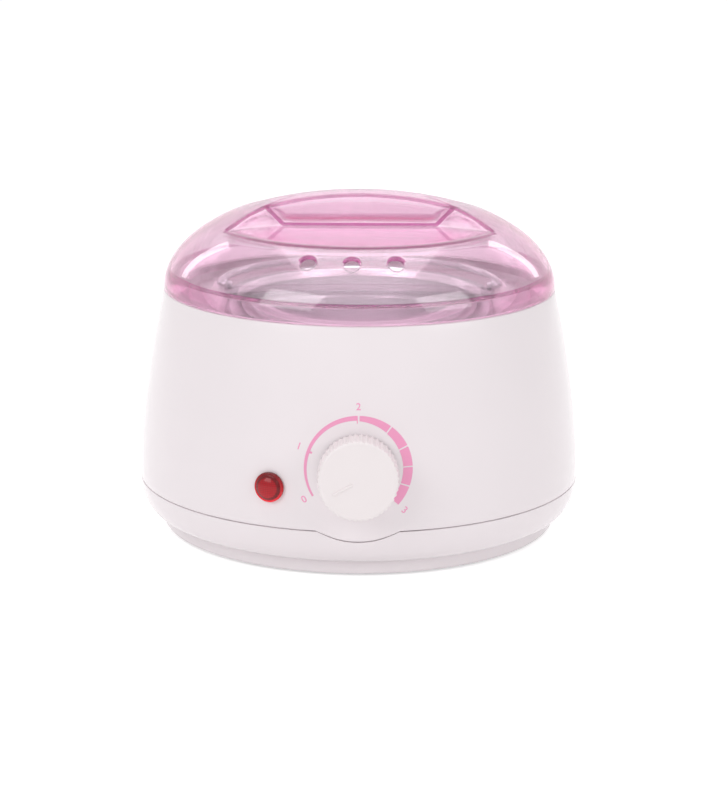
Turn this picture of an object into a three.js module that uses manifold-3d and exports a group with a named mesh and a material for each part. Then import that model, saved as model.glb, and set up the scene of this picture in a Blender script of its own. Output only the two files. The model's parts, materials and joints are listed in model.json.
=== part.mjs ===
// Salon wax heater: a removable aluminium pot stands in a heated aluminium well, inside a white
// moulded housing with a temperature knob and a pilot lamp, under a clear lid with a pinch grip.
// Millimetres, +Z up, the knob faces -Y. Seen from above the housing is an oval.
import * as THREE from 'three';
import { mergeVertices } from 'three/addons/utils/BufferGeometryUtils.js';
import { ConvexGeometry } from 'three/addons/geometries/ConvexGeometry.js';
import Module from 'manifold-3d';

// Fits and cuts, and how far a flat piece stays behind the curved wall
const fitGap = 0.3;
const overrun = 2;
const wallPlay = 0.7;

// Pot
const potRimRadius = 55.4;
const potRimWidth = 4.9;
const potRimThickness = 2;
const potDepth = 68;
const potTaper = 2;
const potWall = 1.2;
const potFillet = 6;

// Pot ears and handle
const handleWireRadius = 1.5;
const handleOutset = 2.6;
const earThickness = 1.4;
const earWidth = 8;
const earHeight = 5.6;
const earFoot = 4.2;
const pivotRise = 3.2;
const pivotInset = 3.4;

// Well
const wellPlay = 1;
const wellWall = 1.2;
const wellFlangeWidth = 5.3;
const wellFlangeThickness = 1.2;
const wellBead = 1.5;
const wellBeadHeight = 2;
const wellBeadDrop = 9;

// Oval body
const depthShare = 0.9;
const deckWidth = 26;
const sideSwell = 11.2;
const sideCurveShare = 1.7;
const wiringSpace = 22.6;
const seamHeight = 22;
const seamGap = 0.5;
const bodyWall = 2.5;
const deckDrop = 7;
const deckThickness = 2.5;

// Lobe of the housing that dips below the seam under the knob
const lobeHalfWidth = 16.6;
const lobeDrop = 4.2;
const lobeCornerShares = [0.75, 0.42];
const lobeBottomShare = 0.45;

// Stand of the base
const bowlInset = 8.3;
const standInset = 1.5;
const standTop = 7.3;
const standBottom = 1.2;
const standWall = 3;
const standChamfer = 0.8;
const floorRecess = 3;
const floorThickness = 2.5;

// Screw posts, feet and screws
const postRadius = 4;
const postInset = 8;
const postAngle = Math.PI / 4;
const footRadius = 6;
const footInset = 11.8;
const footAngle = Math.PI / 3;
const footPegRadius = 2;
const footPegLength = 1.6;
const screwRadius = 1.3;
const screwHeadRadius = 2.8;
const screwHeadHeight = 1.6;
const screwBite = 14;

// Lid
const lidRise = 39.4;
const lidOverhang = 0.1;
const lidWall = 2.2;
const skirtThickness = 2;
const skirtPlay = 0.6;
const skirtDrop = 3;
const bandHeight = 7.2;
const bandSinkShare = 0.8;

// Finger pockets and the grip bar between them
const pocketDepth = 12.6;
const gripHalfLength = 31;
const gripHalfThickness = 10.5;
const gripLeanShare = 0.33;
const wingFlareShare = 1.05;
const wingAngle = THREE.MathUtils.degToRad(26);

// Vents, in a row a little to the left of the middle
const ventShift = -2.9;
const ventCount = 3;
const ventRadius = 3.2;
const ventSpacing = 17.4;
const ventRise = 21.8;

// Knob
const knobRadius = 15.8;
const knobLength = 14.2;
const knobLift = 0.6;
const knobFlutes = 44;
const knobFluteDepth = 0.6;
const knobRound = 1.6;
const knobWall = 2;
const knobHubRadius = 5.4;
const knobRise = 23.6;
const pointerLength = 8.6;
const pointerStart = 2.4;
const pointerWidth = 0.9;
const pointerHeight = 0.5;
const offAngle = THREE.MathUtils.degToRad(209);
const clipThickness = 0.8;
const clipHeight = 2.4;
const clipGapAngle = THREE.MathUtils.degToRad(50);

// Thermostat
const shaftRadius = 3;
const shaftFlat = 0.8;
const shaftReach = 11;
const bushRadius = 4.6;
const bushReach = 3.6;
const nutRadius = 6.6;
const nutHeight = 2.2;
const thermostatWidth = 22;
const thermostatHeight = 20;
const thermostatDepth = 13;
const thermostatSetback = 1.6;
const terminalOffset = 5;
const bulbRadius = 2.2;
const bulbLength = 30;
const bulbForward = 20;
const capillaryRadius = 0.7;

// Heater band and insulation
const bandThickness = 2.5;
const heaterHeight = 26;
const heaterRise = 9;
const bandGapAngle = THREE.MathUtils.degToRad(9);
const bandEar = 6;
const bandEarThickness = 1.5;
const tabWidth = 5;
const tabDrop = 5;
const tabOffset = 12;
const insulationThickness = 5;
const insulationDrop = 7.7;
const insulationRise = 5;
const insulationGapAngle = THREE.MathUtils.degToRad(34);

// Clamps that hold the well to the deck
const clampCount = 3;
const clampStart = Math.PI / 6;
const clampThickness = 1.6;
const clampWidth = 8;
const clampOverhang = 3.4;
const clampBossRadius = 3.6;
const clampBossOffset = 7.6;

// Thermal fuse and strap
const fuseRadius = 2;
const fuseLength = 12;
const fuseBack = 20;
const strapThickness = 0.8;
const strapWidth = 7;
const strapFoot = 4;

// Pilot lamp
const lensRadius = 6;
const lensRim = 0.9;
const lensRise = 3.6;
const lensStemRadius = 4.6;
const lensStemLength = 6;
const lensBoreRadius = 3.2;
const lensSide = 34.6;
const lensAboveSeam = 16.3;
const lampRadius = 2.7;
const lampLength = 11;
const retainerRadius = 7.4;
const retainerThickness = 1;

// Terminal block and leads
const blockWidth = 26;
const blockDepth = 12;
const blockHeight = 10;
const blockBack = 48;
const blockHoleRadius = 1.8;
const blockHoleDepth = 6;
const blockPitch = 8;
const leadRadius = 0.9;
const leadPullShare = 0.45;

// Cord gland
const glandRadius = 6.5;
const glandFlange = 2.5;
const glandFlangeThickness = 2;
const glandCollar = 5;
const glandBoreRadius = 3.6;
const glandInside = 7;
const glandAboveSeam = 12;
const glandNutRadius = 9;
const glandNutHeight = 3;

// How finely round shapes are divided
const shellSegments = 56;
const potSegments = 48;
const wellSegments = 40;
const lensSegments = 24;
const smallSegments = 12;
const wireSides = 6;
const nutSides = 6;
const leadSides = 5;
const leadSteps = 10;
const handleSteps = 26;
const domeSteps = 10;
const sideSteps = 5;
const hiddenSteps = 3;
const archSteps = 4;

// Heights and radii that follow from the sizes above
const floorBottom = standBottom + floorRecess;
const floorTop = floorBottom + floorThickness;
const wellFloorBottom = floorTop + wiringSpace;
const wellFloorTop = wellFloorBottom + wellWall;
const potBottom = wellFloorTop + fitGap;
const rimTop = potBottom + potDepth;
const rimBottom = rimTop - potRimThickness;
const flangeTop = rimBottom - fitGap;
const flangeBottom = flangeTop - wellFlangeThickness;
const deckTop = flangeBottom - fitGap;
const deckBottom = deckTop - deckThickness;
const jointHeight = deckTop + deckDrop;
const potBodyRadius = potRimRadius - potRimWidth;
const wellBore = potBodyRadius + wellPlay;
const wellRadius = wellBore + wellWall;
const beadRadius = wellRadius + wellBead;
const beadBottom = deckTop - wellBeadDrop;
const deckOpening = beadRadius + fitGap;
const heaterInner = wellRadius + fitGap;
const heaterOuter = heaterInner + bandThickness;
const heaterBottom = wellFloorBottom + heaterRise;
const insulationInner = heaterOuter + fitGap;
const insulationOuter = insulationInner + insulationThickness;
const insulationBottom = wellFloorBottom + insulationRise;
const insulationTop = beadBottom - insulationDrop;
const jointHalfWidth = potRimRadius + deckWidth;
const bodyHalfWidth = jointHalfWidth + sideSwell;
const bowlEnd = bodyHalfWidth - bowlInset;
const standHalfWidth = bowlEnd - standInset;
const standInner = standHalfWidth - standWall;
const lipInner = jointHalfWidth - bodyWall;
const lidBottom = jointHeight + fitGap;
const lidHalfWidth = jointHalfWidth + lidOverhang;
const knobHeight = seamHeight + knobRise;
const lensHeight = seamHeight + lensAboveSeam;
const glandHeight = seamHeight + glandAboveSeam;
const pivotHeight = rimTop + pivotRise;
const handleRadius = potRimRadius + handleOutset;

const plastics = {
  whiteShell: { color: 0xf1eaed, roughness: 0.25, metalness: 0 },
  whiteKnob: { color: 0xf3eef0, roughness: 0.35, metalness: 0 },
  pinkLid: { color: 0xf4a9c6, roughness: 0.08, metalness: 0, transparent: true, opacity: 0.45 },
  redLens: { color: 0xc2182b, roughness: 0.15, metalness: 0 },
  whiteNylon: { color: 0xe8e4e6, roughness: 0.5, metalness: 0 },
  greyRubber: { color: 0x6c6c70, roughness: 0.85, metalness: 0 },
  cream: { color: 0xe6dcc8, roughness: 0.6, metalness: 0 },
  wool: { color: 0xd9d2b8, roughness: 0.95, metalness: 0 },
  leadSleeve: { color: 0xb9b9bd, roughness: 0.6, metalness: 0 },
};
const metals = {
  aluminium: { color: 0xd5d6d8, roughness: 0.25, metalness: 1 },
  steel: { color: 0xaeb0b4, roughness: 0.35, metalness: 1 },
  brass: { color: 0xc9a45a, roughness: 0.35, metalness: 1 },
};

const wasm = await Module();
wasm.setup();

// A closed geometry as a solid that can be joined and cut. Triangles that collapse at a pole go.
function solidOf(geometry) {
  const bare = geometry.clone();
  bare.deleteAttribute('normal');
  bare.deleteAttribute('uv');
  const merged = mergeVertices(bare);
  const corners = merged.index.array;
  const kept = [];
  for (let i = 0; i < corners.length; i += 3) {
    const [a, b, c] = [corners[i], corners[i + 1], corners[i + 2]];
    if (a !== b && b !== c && c !== a) kept.push(a, b, c);
  }
  return new wasm.Manifold(new wasm.Mesh({
    numProp: 3,
    vertProperties: new Float32Array(merged.attributes.position.array),
    triVerts: new Uint32Array(kept),
  }));
}

function geometryOf(solid) {
  const mesh = solid.getMesh();
  const geometry = new THREE.BufferGeometry();
  geometry.setAttribute('position', new THREE.BufferAttribute(mesh.vertProperties, mesh.numProp));
  geometry.setIndex(new THREE.BufferAttribute(mesh.triVerts, 1));
  geometry.computeVertexNormals();
  return geometry;
}

// A profile of [radius, height] points turned round the Z axis.
function turned(profile, segments = smallSegments) {
  const points = profile.map(([radius, height]) => new THREE.Vector2(radius, height));
  return new THREE.LatheGeometry(points, segments).rotateX(Math.PI / 2);
}

// The same, drawn in front and back to the oval of the body.
function turnedOval(profile) {
  return turned(profile, shellSegments).scale(1, depthShare, 1);
}

// A round rod that stands on its base height.
function rod(radius, base, top, segments = smallSegments) {
  return turned([[0, base], [radius, base], [radius, top], [0, top]], segments);
}

function ring(inner, outer, base, top) {
  return turned([[inner, base], [outer, base], [outer, top], [inner, top], [inner, base]], lensSegments);
}

// A six-sided nut with a round bore.
function nut(inner, outer, base, top) {
  const shape = new THREE.Shape();
  for (let i = 0; i < nutSides; i += 1) {
    const angle = i * 2 * Math.PI / nutSides;
    const [x, y] = [outer * Math.cos(angle), outer * Math.sin(angle)];
    if (i === 0) shape.moveTo(x, y);
    else shape.lineTo(x, y);
  }
  const bore = new THREE.Path();
  bore.absarc(0, 0, inner, 0, 2 * Math.PI, false);
  shape.holes.push(bore);
  const settings = { depth: top - base, bevelEnabled: false, curveSegments: smallSegments };
  return new THREE.ExtrudeGeometry(shape, settings).translate(0, 0, base);
}

function block(width, depth, height) {
  return new THREE.BoxGeometry(width, depth, height);
}

// A shape drawn on X and Z, pushed through Y from front to back.
function pushedThrough(shape, front, back, curveSegments = archSteps) {
  const settings = { depth: back - front, bevelEnabled: false, curveSegments };
  return new THREE.ExtrudeGeometry(shape, settings).rotateX(Math.PI / 2).translate(0, back, 0);
}

function tube(path, radius, sides, steps) {
  const section = new THREE.Shape();
  for (let i = 0; i < sides; i += 1) {
    const angle = i * 2 * Math.PI / sides;
    const [across, up] = [radius * Math.cos(angle), radius * Math.sin(angle)];
    if (i === 0) section.moveTo(across, up);
    else section.lineTo(across, up);
  }
  return new THREE.ExtrudeGeometry(section, { extrudePath: path, steps, bevelEnabled: false });
}

// Points of a quarter ellipse between two angles, round a centre.
function archPoints(centre, radii, start, end, steps) {
  const points = [];
  for (let i = 0; i <= steps; i += 1) {
    const angle = start + (end - start) * i / steps;
    points.push([centre[0] + radii[0] * Math.cos(angle), centre[1] + radii[1] * Math.sin(angle)]);
  }
  return points;
}

function wallHalfWidth(height) {
  const climb = (height - seamHeight) / (jointHeight - seamHeight);
  return bodyHalfWidth - sideSwell * climb ** sideCurveShare;
}

function wallSlope(height) {
  const span = jointHeight - seamHeight;
  const climb = (height - seamHeight) / span;
  return -sideSwell * sideCurveShare * climb ** (sideCurveShare - 1) / span;
}

// A frame whose Z axis points out of the surface and whose Y axis points up along it.
function seatFrame(place, outward) {
  const out = outward.clone().normalize();
  const across = new THREE.Vector3(0, 0, 1).cross(out).normalize();
  const up = out.clone().cross(across);
  return new THREE.Matrix4().makeBasis(across, up, out).setPosition(place);
}

// The seat of a piece on the housing wall, at the front (facing -1) or at the back (facing 1).
function wallSeat(side, height, facing) {
  const halfWidth = wallHalfWidth(height);
  const halfDepth = depthShare * halfWidth;
  const y = facing * halfDepth * Math.sqrt(1 - (side / halfWidth) ** 2);
  const outward = new THREE.Vector3(
    side / halfWidth ** 2,
    y / halfDepth ** 2,
    -wallSlope(height) / halfWidth,
  );
  return seatFrame(new THREE.Vector3(side, y, height), outward);
}

// The seat of a vent on the front of the lid's dome.
function domeSeat(side, rise) {
  const halfWidth = lidHalfWidth * Math.sqrt(1 - (rise / lidRise) ** 2);
  const y = -depthShare * Math.sqrt(halfWidth ** 2 - side ** 2);
  const outward = new THREE.Vector3(
    side / lidHalfWidth ** 2,
    y / (depthShare * lidHalfWidth) ** 2,
    rise / lidRise ** 2,
  );
  return seatFrame(new THREE.Vector3(side, y, lidBottom + rise), outward);
}

const knobSeat = wallSeat(0, knobHeight, -1);
const lensSeat = wallSeat(-lensSide, lensHeight, -1);
const glandSeat = wallSeat(0, glandHeight, 1);

// Places on an oval that lies inside the wall at the stand: one in each quarter.
function quarterPlaces(inset, angle) {
  const reach = bowlEnd - bodyWall - inset;
  const [x, y] = [reach * Math.cos(angle), depthShare * reach * Math.sin(angle)];
  return [[-x, -y], [x, -y], [x, y], [-x, y]];
}

const postPlaces = quarterPlaces(postInset, postAngle);
const footPlaces = quarterPlaces(footInset, footAngle);

function clampAngles() {
  return Array.from({ length: clampCount }, (_, i) => clampStart + i * 2 * Math.PI / clampCount);
}

function lobeShape(grow) {
  const [half, drop] = [lobeHalfWidth + grow, lobeDrop + grow];
  const [cornerShare, dipShare] = lobeCornerShares;
  const shape = new THREE.Shape();
  shape.moveTo(half, overrun);
  shape.lineTo(-half, overrun);
  shape.lineTo(-half, 0);
  shape.bezierCurveTo(-half * cornerShare, -drop * dipShare, -half * lobeBottomShare, -drop, 0, -drop);
  shape.bezierCurveTo(half * lobeBottomShare, -drop, half * cornerShare, -drop * dipShare, half, 0);
  return shape;
}

// All that lies above the seam, with the lobe at the front, grown downwards for the base.
function aboveSeam(grow) {
  const span = 2 * (bodyHalfWidth + overrun);
  const height = jointHeight;
  const slab = block(span, span, height).translate(0, 0, seamHeight - grow + height / 2);
  const front = -bodyHalfWidth * depthShare - overrun;
  const lobe = pushedThrough(lobeShape(grow), front, -bowlEnd * depthShare / 2)
    .translate(0, 0, seamHeight);
  return solidOf(slab).add(solidOf(lobe));
}

// Housing and base as one hollow body of revolution, drawn from the stand up and back down inside.
function bodyShell() {
  const bowlDrop = seamHeight - standTop;
  const outerBowl = archPoints([bowlEnd, seamHeight], [bowlInset, bowlDrop], -Math.PI / 2, 0, archSteps);
  const innerBowl = archPoints(
    [bowlEnd - bodyWall, seamHeight],
    [bowlInset, bowlDrop - bodyWall],
    0,
    -Math.PI / 2,
    hiddenSteps,
  );
  const outerSide = [];
  const innerSide = [];
  for (let i = 1; i <= sideSteps; i += 1) {
    const height = seamHeight + (jointHeight - seamHeight) * i / sideSteps;
    outerSide.push([wallHalfWidth(height), height]);
  }
  for (let i = 0; i < hiddenSteps; i += 1) {
    const height = deckBottom - (deckBottom - seamHeight) * i / hiddenSteps;
    innerSide.push([wallHalfWidth(height) - bodyWall, height]);
  }
  const deckEdge = deckOpening * depthShare;
  return solidOf(turnedOval([
    [0, floorBottom],
    [standInner, floorBottom],
    [standInner, standBottom],
    [standHalfWidth - standChamfer, standBottom],
    [standHalfWidth, standBottom + standChamfer],
    [standHalfWidth, standTop],
    ...outerBowl,
    ...outerSide,
    [lipInner, jointHeight],
    [lipInner, deckTop],
    [deckEdge, deckTop],
    [deckEdge, deckBottom],
    ...innerSide,
    ...innerBowl,
    [standInner, floorTop],
    [0, floorTop],
  ]));
}

function wallHole(seat, radius) {
  return solidOf(rod(radius, -bodyWall - overrun, overrun).applyMatrix4(seat));
}

function housing(shell) {
  let body = shell.intersect(aboveSeam(0));
  for (const [x, y] of postPlaces) {
    const post = rod(postRadius, floorTop + fitGap, deckTop - deckThickness / 2);
    body = body.add(solidOf(post.translate(x, y, 0)));
  }
  for (const angle of clampAngles()) {
    const reach = wellRadius + clampBossOffset;
    const boss = rod(clampBossRadius, beadBottom, deckTop - deckThickness / 2);
    body = body.add(solidOf(boss.translate(reach, 0, 0).rotateZ(angle)));
  }
  body = body.subtract(solidOf(rod(deckOpening, deckBottom - overrun, deckTop + overrun, wellSegments)));
  for (const [x, y] of postPlaces) {
    const bore = rod(screwRadius + fitGap, floorTop - overrun, floorTop + screwBite + overrun);
    body = body.subtract(solidOf(bore.translate(x, y, 0)));
  }
  for (const angle of clampAngles()) {
    const reach = wellRadius + clampBossOffset;
    const bore = rod(screwRadius + fitGap, beadBottom - overrun, deckBottom);
    body = body.subtract(solidOf(bore.translate(reach, 0, 0).rotateZ(angle)));
  }
  return geometryOf(body
    .subtract(wallHole(knobSeat, bushRadius + fitGap))
    .subtract(wallHole(lensSeat, lensStemRadius + fitGap))
    .subtract(wallHole(glandSeat, glandRadius + fitGap)));
}

function base(shell) {
  let body = shell.subtract(aboveSeam(seamGap));
  for (const [x, y] of postPlaces) {
    const hole = rod(screwRadius + fitGap, floorBottom - overrun, floorTop + overrun);
    body = body.subtract(solidOf(hole.translate(x, y, 0)));
  }
  for (const [x, y] of footPlaces) {
    const hole = rod(footPegRadius + fitGap, floorBottom - overrun, floorTop + overrun);
    body = body.subtract(solidOf(hole.translate(x, y, 0)));
  }
  return geometryOf(body);
}

// A rubber foot with a barbed peg that is pulled through the floor of the base.
function foot() {
  const seat = floorBottom - fitGap;
  const barb = footPegRadius + fitGap;
  const pegTop = floorTop + fitGap + footPegLength;
  return turned([
    [0, 0],
    [footRadius - standChamfer, 0],
    [footRadius, standChamfer],
    [footRadius, seat],
    [footPegRadius, seat],
    [footPegRadius, floorTop + fitGap],
    [barb, floorTop + fitGap],
    [footPegRadius, pegTop],
    [0, pegTop],
  ]);
}

// A screw that points up, with its seat at height zero.
function screw(bite) {
  const slotHalf = screwHeadHeight / 4;
  const blank = turned([
    [0, -screwHeadHeight],
    [screwHeadRadius - slotHalf, -screwHeadHeight],
    [screwHeadRadius, -screwHeadHeight / 2],
    [screwHeadRadius, 0],
    [screwRadius, 0],
    [screwRadius, bite - screwRadius],
    [0, bite],
  ]);
  const slot = block(2 * screwHeadRadius + overrun, 2 * slotHalf, screwHeadHeight)
    .translate(0, 0, -screwHeadHeight);
  return geometryOf(solidOf(blank).subtract(solidOf(slot)));
}

function well() {
  return turned([
    [0, wellFloorBottom],
    [wellRadius - potFillet, wellFloorBottom],
    [wellRadius, wellFloorBottom + potFillet],
    [wellRadius, beadBottom],
    [beadRadius, beadBottom + fitGap],
    [beadRadius, beadBottom + wellBeadHeight],
    [wellRadius, beadBottom + wellBeadHeight + wellBead],
    [wellRadius, flangeBottom],
    [wellRadius + wellFlangeWidth, flangeBottom],
    [wellRadius + wellFlangeWidth, flangeTop],
    [wellBore, flangeTop],
    [wellBore, wellFloorTop + potFillet],
    [wellBore - potFillet, wellFloorTop],
    [0, wellFloorTop],
  ], wellSegments);
}

function wellClamp() {
  const inner = wellRadius + fitGap;
  const outer = wellRadius + clampBossOffset + clampBossRadius + clampOverhang;
  const top = beadBottom - fitGap;
  const plate = block(outer - inner, clampWidth, clampThickness)
    .translate((inner + outer) / 2, 0, top - clampThickness / 2);
  const round = rod(inner, top - clampThickness - overrun, top + overrun, wellSegments);
  const hole = rod(screwRadius + fitGap, top - clampThickness - overrun, top + overrun)
    .translate(wellRadius + clampBossOffset, 0, 0);
  return geometryOf(solidOf(plate).subtract(solidOf(round)).subtract(solidOf(hole)));
}

// The part of a ring that is left when a gap is cut at the back.
function openRing(inner, outer, gapAngle) {
  const [start, end] = [Math.PI / 2 + gapAngle / 2, 5 * Math.PI / 2 - gapAngle / 2];
  const shape = new THREE.Shape();
  shape.absarc(0, 0, outer, start, end, false);
  shape.absarc(0, 0, inner, end, start, true);
  return shape;
}

function heaterBand() {
  const ringGeometry = new THREE.ExtrudeGeometry(openRing(heaterInner, heaterOuter, bandGapAngle), {
    depth: heaterHeight,
    bevelEnabled: false,
    curveSegments: lensSegments,
  }).translate(0, 0, heaterBottom);
  let band = solidOf(ringGeometry);
  const ear = block(bandEarThickness, bandEar + bandThickness / 2, heaterHeight);
  const earPlace = heaterOuter * Math.sin(bandGapAngle / 2) + bandEarThickness / 2;
  const middle = heaterBottom + heaterHeight / 2;
  for (const side of [-1, 1]) {
    const earBack = heaterOuter - bandThickness / 2 + (bandEar + bandThickness / 2) / 2;
    band = band.add(solidOf(ear.clone().translate(side * earPlace, earBack, middle)));
  }
  const boreReach = earPlace + bandEarThickness + overrun;
  const bore = rod(screwRadius + fitGap, -boreReach, boreReach).rotateY(Math.PI / 2)
    .translate(0, heaterOuter + bandEar / 2, middle);
  const tab = block(tabWidth, bandThickness / 2, tabDrop + overrun)
    .translate(tabOffset, Math.sqrt(heaterInner ** 2 - tabOffset ** 2) + bandThickness / 2,
      heaterBottom - tabDrop + (tabDrop + overrun) / 2);
  return geometryOf(band.add(solidOf(tab)).subtract(solidOf(bore)));
}

// The screw that draws the ends of the band together, with its nut formed on it.
function bandScrew() {
  const earOuter = heaterOuter * Math.sin(bandGapAngle / 2) + bandEarThickness + fitGap;
  return turned([
    [0, -earOuter - screwHeadHeight],
    [screwHeadRadius, -earOuter - screwHeadHeight],
    [screwHeadRadius, -earOuter],
    [screwRadius, -earOuter],
    [screwRadius, earOuter],
    [screwHeadRadius, earOuter],
    [screwHeadRadius, earOuter + screwHeadHeight],
    [0, earOuter + screwHeadHeight],
  ]).rotateY(Math.PI / 2);
}

function insulation() {
  const shape = openRing(insulationInner, insulationOuter, insulationGapAngle);
  return new THREE.ExtrudeGeometry(shape, {
    depth: insulationTop - insulationBottom,
    bevelEnabled: false,
    curveSegments: lensSegments,
  }).translate(0, 0, insulationBottom);
}

// A rod held against the floor of the well by a strap with two feet.
function strap(rodRadius) {
  const inner = rodRadius + fitGap;
  const outer = inner + strapThickness;
  const half = outer + strapFoot;
  const top = -fitGap;
  const shape = new THREE.Shape();
  shape.moveTo(-half, top);
  shape.lineTo(-half, top - strapThickness);
  shape.lineTo(-outer, top - strapThickness);
  shape.lineTo(-outer, top - inner);
  shape.absarc(0, top - inner, outer, Math.PI, 2 * Math.PI, false);
  shape.lineTo(outer, top - strapThickness);
  shape.lineTo(half, top - strapThickness);
  shape.lineTo(half, top);
  shape.lineTo(inner, top);
  shape.lineTo(inner, top - inner);
  shape.absarc(0, top - inner, inner, 2 * Math.PI, Math.PI, true);
  shape.lineTo(-inner, top);
  return pushedThrough(shape, -strapWidth / 2, strapWidth / 2).rotateZ(Math.PI / 2);
}

function lyingRod(radius, length) {
  return rod(radius, -length / 2, length / 2).rotateY(Math.PI / 2);
}

function pot() {
  const inner = potBodyRadius - potWall;
  const lower = potBodyRadius - potTaper;
  const roll = potRimThickness / 2;
  const rollPoints = archPoints(
    [potRimRadius - roll, rimBottom + roll],
    [roll, roll],
    -Math.PI / 2,
    Math.PI / 2,
    archSteps,
  );
  const bottomRound = archPoints([lower - potFillet, potBottom + potFillet], [potFillet, potFillet],
    -Math.PI / 2, 0, hiddenSteps);
  const floorRound = archPoints([lower - potFillet, potBottom + potFillet],
    [potFillet - potWall, potFillet - potWall], 0, -Math.PI / 2, hiddenSteps);
  return turned([
    [0, potBottom],
    ...bottomRound,
    [potBodyRadius, rimBottom - potWall],
    [potBodyRadius, rimBottom],
    ...rollPoints,
    [potBodyRadius, rimTop],
    [inner, rimTop - potWall],
    ...floorRound,
    [0, potBottom + potWall],
  ], potSegments);
}

// A bent ear that stands on the rim, with a hole for the handle.
function potEar() {
  const face = handleRadius - handleWireRadius - fitGap;
  const shape = new THREE.Shape();
  shape.moveTo(face, 0);
  shape.lineTo(face, earHeight);
  shape.lineTo(face - earThickness, earHeight);
  shape.lineTo(face - earThickness, earThickness);
  shape.lineTo(face - earThickness - earFoot, earThickness);
  shape.lineTo(face - earThickness - earFoot, 0);
  const ear = pushedThrough(shape, -earWidth / 2, earWidth / 2)
    .translate(0, 0, rimTop + fitGap);
  const bore = rod(handleWireRadius + fitGap, face - earFoot, face + overrun)
    .rotateY(Math.PI / 2).translate(0, 0, pivotHeight);
  return geometryOf(solidOf(ear).subtract(solidOf(bore)));
}

// The bail, drawn round its pivot line: a half circle of wire that lies to the back, with its ends
// bent square into two pins.
function potHandle() {
  const points = [];
  for (let i = 0; i <= handleSteps; i += 1) {
    const angle = Math.PI * i / handleSteps;
    points.push(new THREE.Vector3(handleRadius * Math.cos(angle), handleRadius * Math.sin(angle), 0));
  }
  const path = new THREE.CatmullRomCurve3(points);
  let handle = solidOf(tube(path, handleWireRadius, wireSides, handleSteps));
  for (const side of [-1, 1]) {
    const pin = rod(handleWireRadius, handleRadius - handleWireRadius - pivotInset, handleRadius, wireSides)
      .rotateY(side * Math.PI / 2);
    const corner = new THREE.SphereGeometry(handleWireRadius, wireSides, archSteps)
      .translate(side * handleRadius, 0, 0);
    handle = handle.add(solidOf(pin)).add(solidOf(corner));
  }
  return geometryOf(handle);
}

function domeProfile(halfWidth, rise, bottom) {
  const dome = archPoints([0, lidBottom], [halfWidth, rise], 0, Math.PI / 2, domeSteps);
  const start = bottom < lidBottom ? 0 : 1;
  return [[0, bottom], [halfWidth, bottom], ...dome.slice(start, -1), [0, lidBottom + rise]];
}

// What the front finger pocket takes out of the dome: a flat floor, a leaning back wall and two wings.
function pocketCutter(thickness) {
  const floor = lidBottom + lidRise - pocketDepth;
  const top = lidBottom + lidRise + overrun;
  const lean = (top - floor) * gripLeanShare;
  const flare = (top - floor) * wingFlareShare;
  const reach = lidHalfWidth + overrun;
  const wingDrop = (reach - gripHalfLength) * Math.tan(wingAngle);
  const plan = [
    [-gripHalfLength, -gripHalfThickness],
    [gripHalfLength, -gripHalfThickness],
    [reach, -gripHalfThickness - wingDrop],
    [reach, -reach],
    [-reach, -reach],
    [-reach, -gripHalfThickness - wingDrop],
  ];
  const corners = plan.flatMap(([x, y]) => [
    new THREE.Vector3(x, y, floor),
    new THREE.Vector3(x + Math.sign(x) * flare, y + lean, top),
  ]);
  return new ConvexGeometry(corners).translate(0, thickness, -thickness);
}

function lid() {
  let outer = solidOf(turnedOval(domeProfile(lidHalfWidth, lidRise, lidBottom)));
  const innerProfile = domeProfile(lidHalfWidth - lidWall, lidRise - lidWall, lidBottom - overrun);
  let inner = solidOf(turnedOval(innerProfile));
  for (const turn of [0, Math.PI]) {
    outer = outer.subtract(solidOf(pocketCutter(0).rotateZ(turn)));
    inner = inner.subtract(solidOf(pocketCutter(lidWall).rotateZ(turn)));
  }
  const skirtOuter = lipInner - skirtPlay;
  const skirtInner = skirtOuter - skirtThickness;
  const bandOuter = lidHalfWidth - lidWall * bandSinkShare;
  const skirt = solidOf(turnedOval([
    [skirtInner, lidBottom - skirtDrop],
    [skirtOuter, lidBottom - skirtDrop],
    [skirtOuter, lidBottom],
    [bandOuter, lidBottom],
    [bandOuter, lidBottom + bandHeight],
    [skirtInner, lidBottom + bandHeight],
    [skirtInner, lidBottom - skirtDrop],
  ]));
  let body = outer.subtract(inner).add(skirt);
  for (let i = 0; i < ventCount; i += 1) {
    const side = ventShift + (i - (ventCount - 1) / 2) * ventSpacing;
    const drill = rod(ventRadius, -lidWall - 2 * overrun, overrun).applyMatrix4(domeSeat(side, ventRise));
    body = body.subtract(solidOf(drill));
  }
  return geometryOf(body);
}

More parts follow.
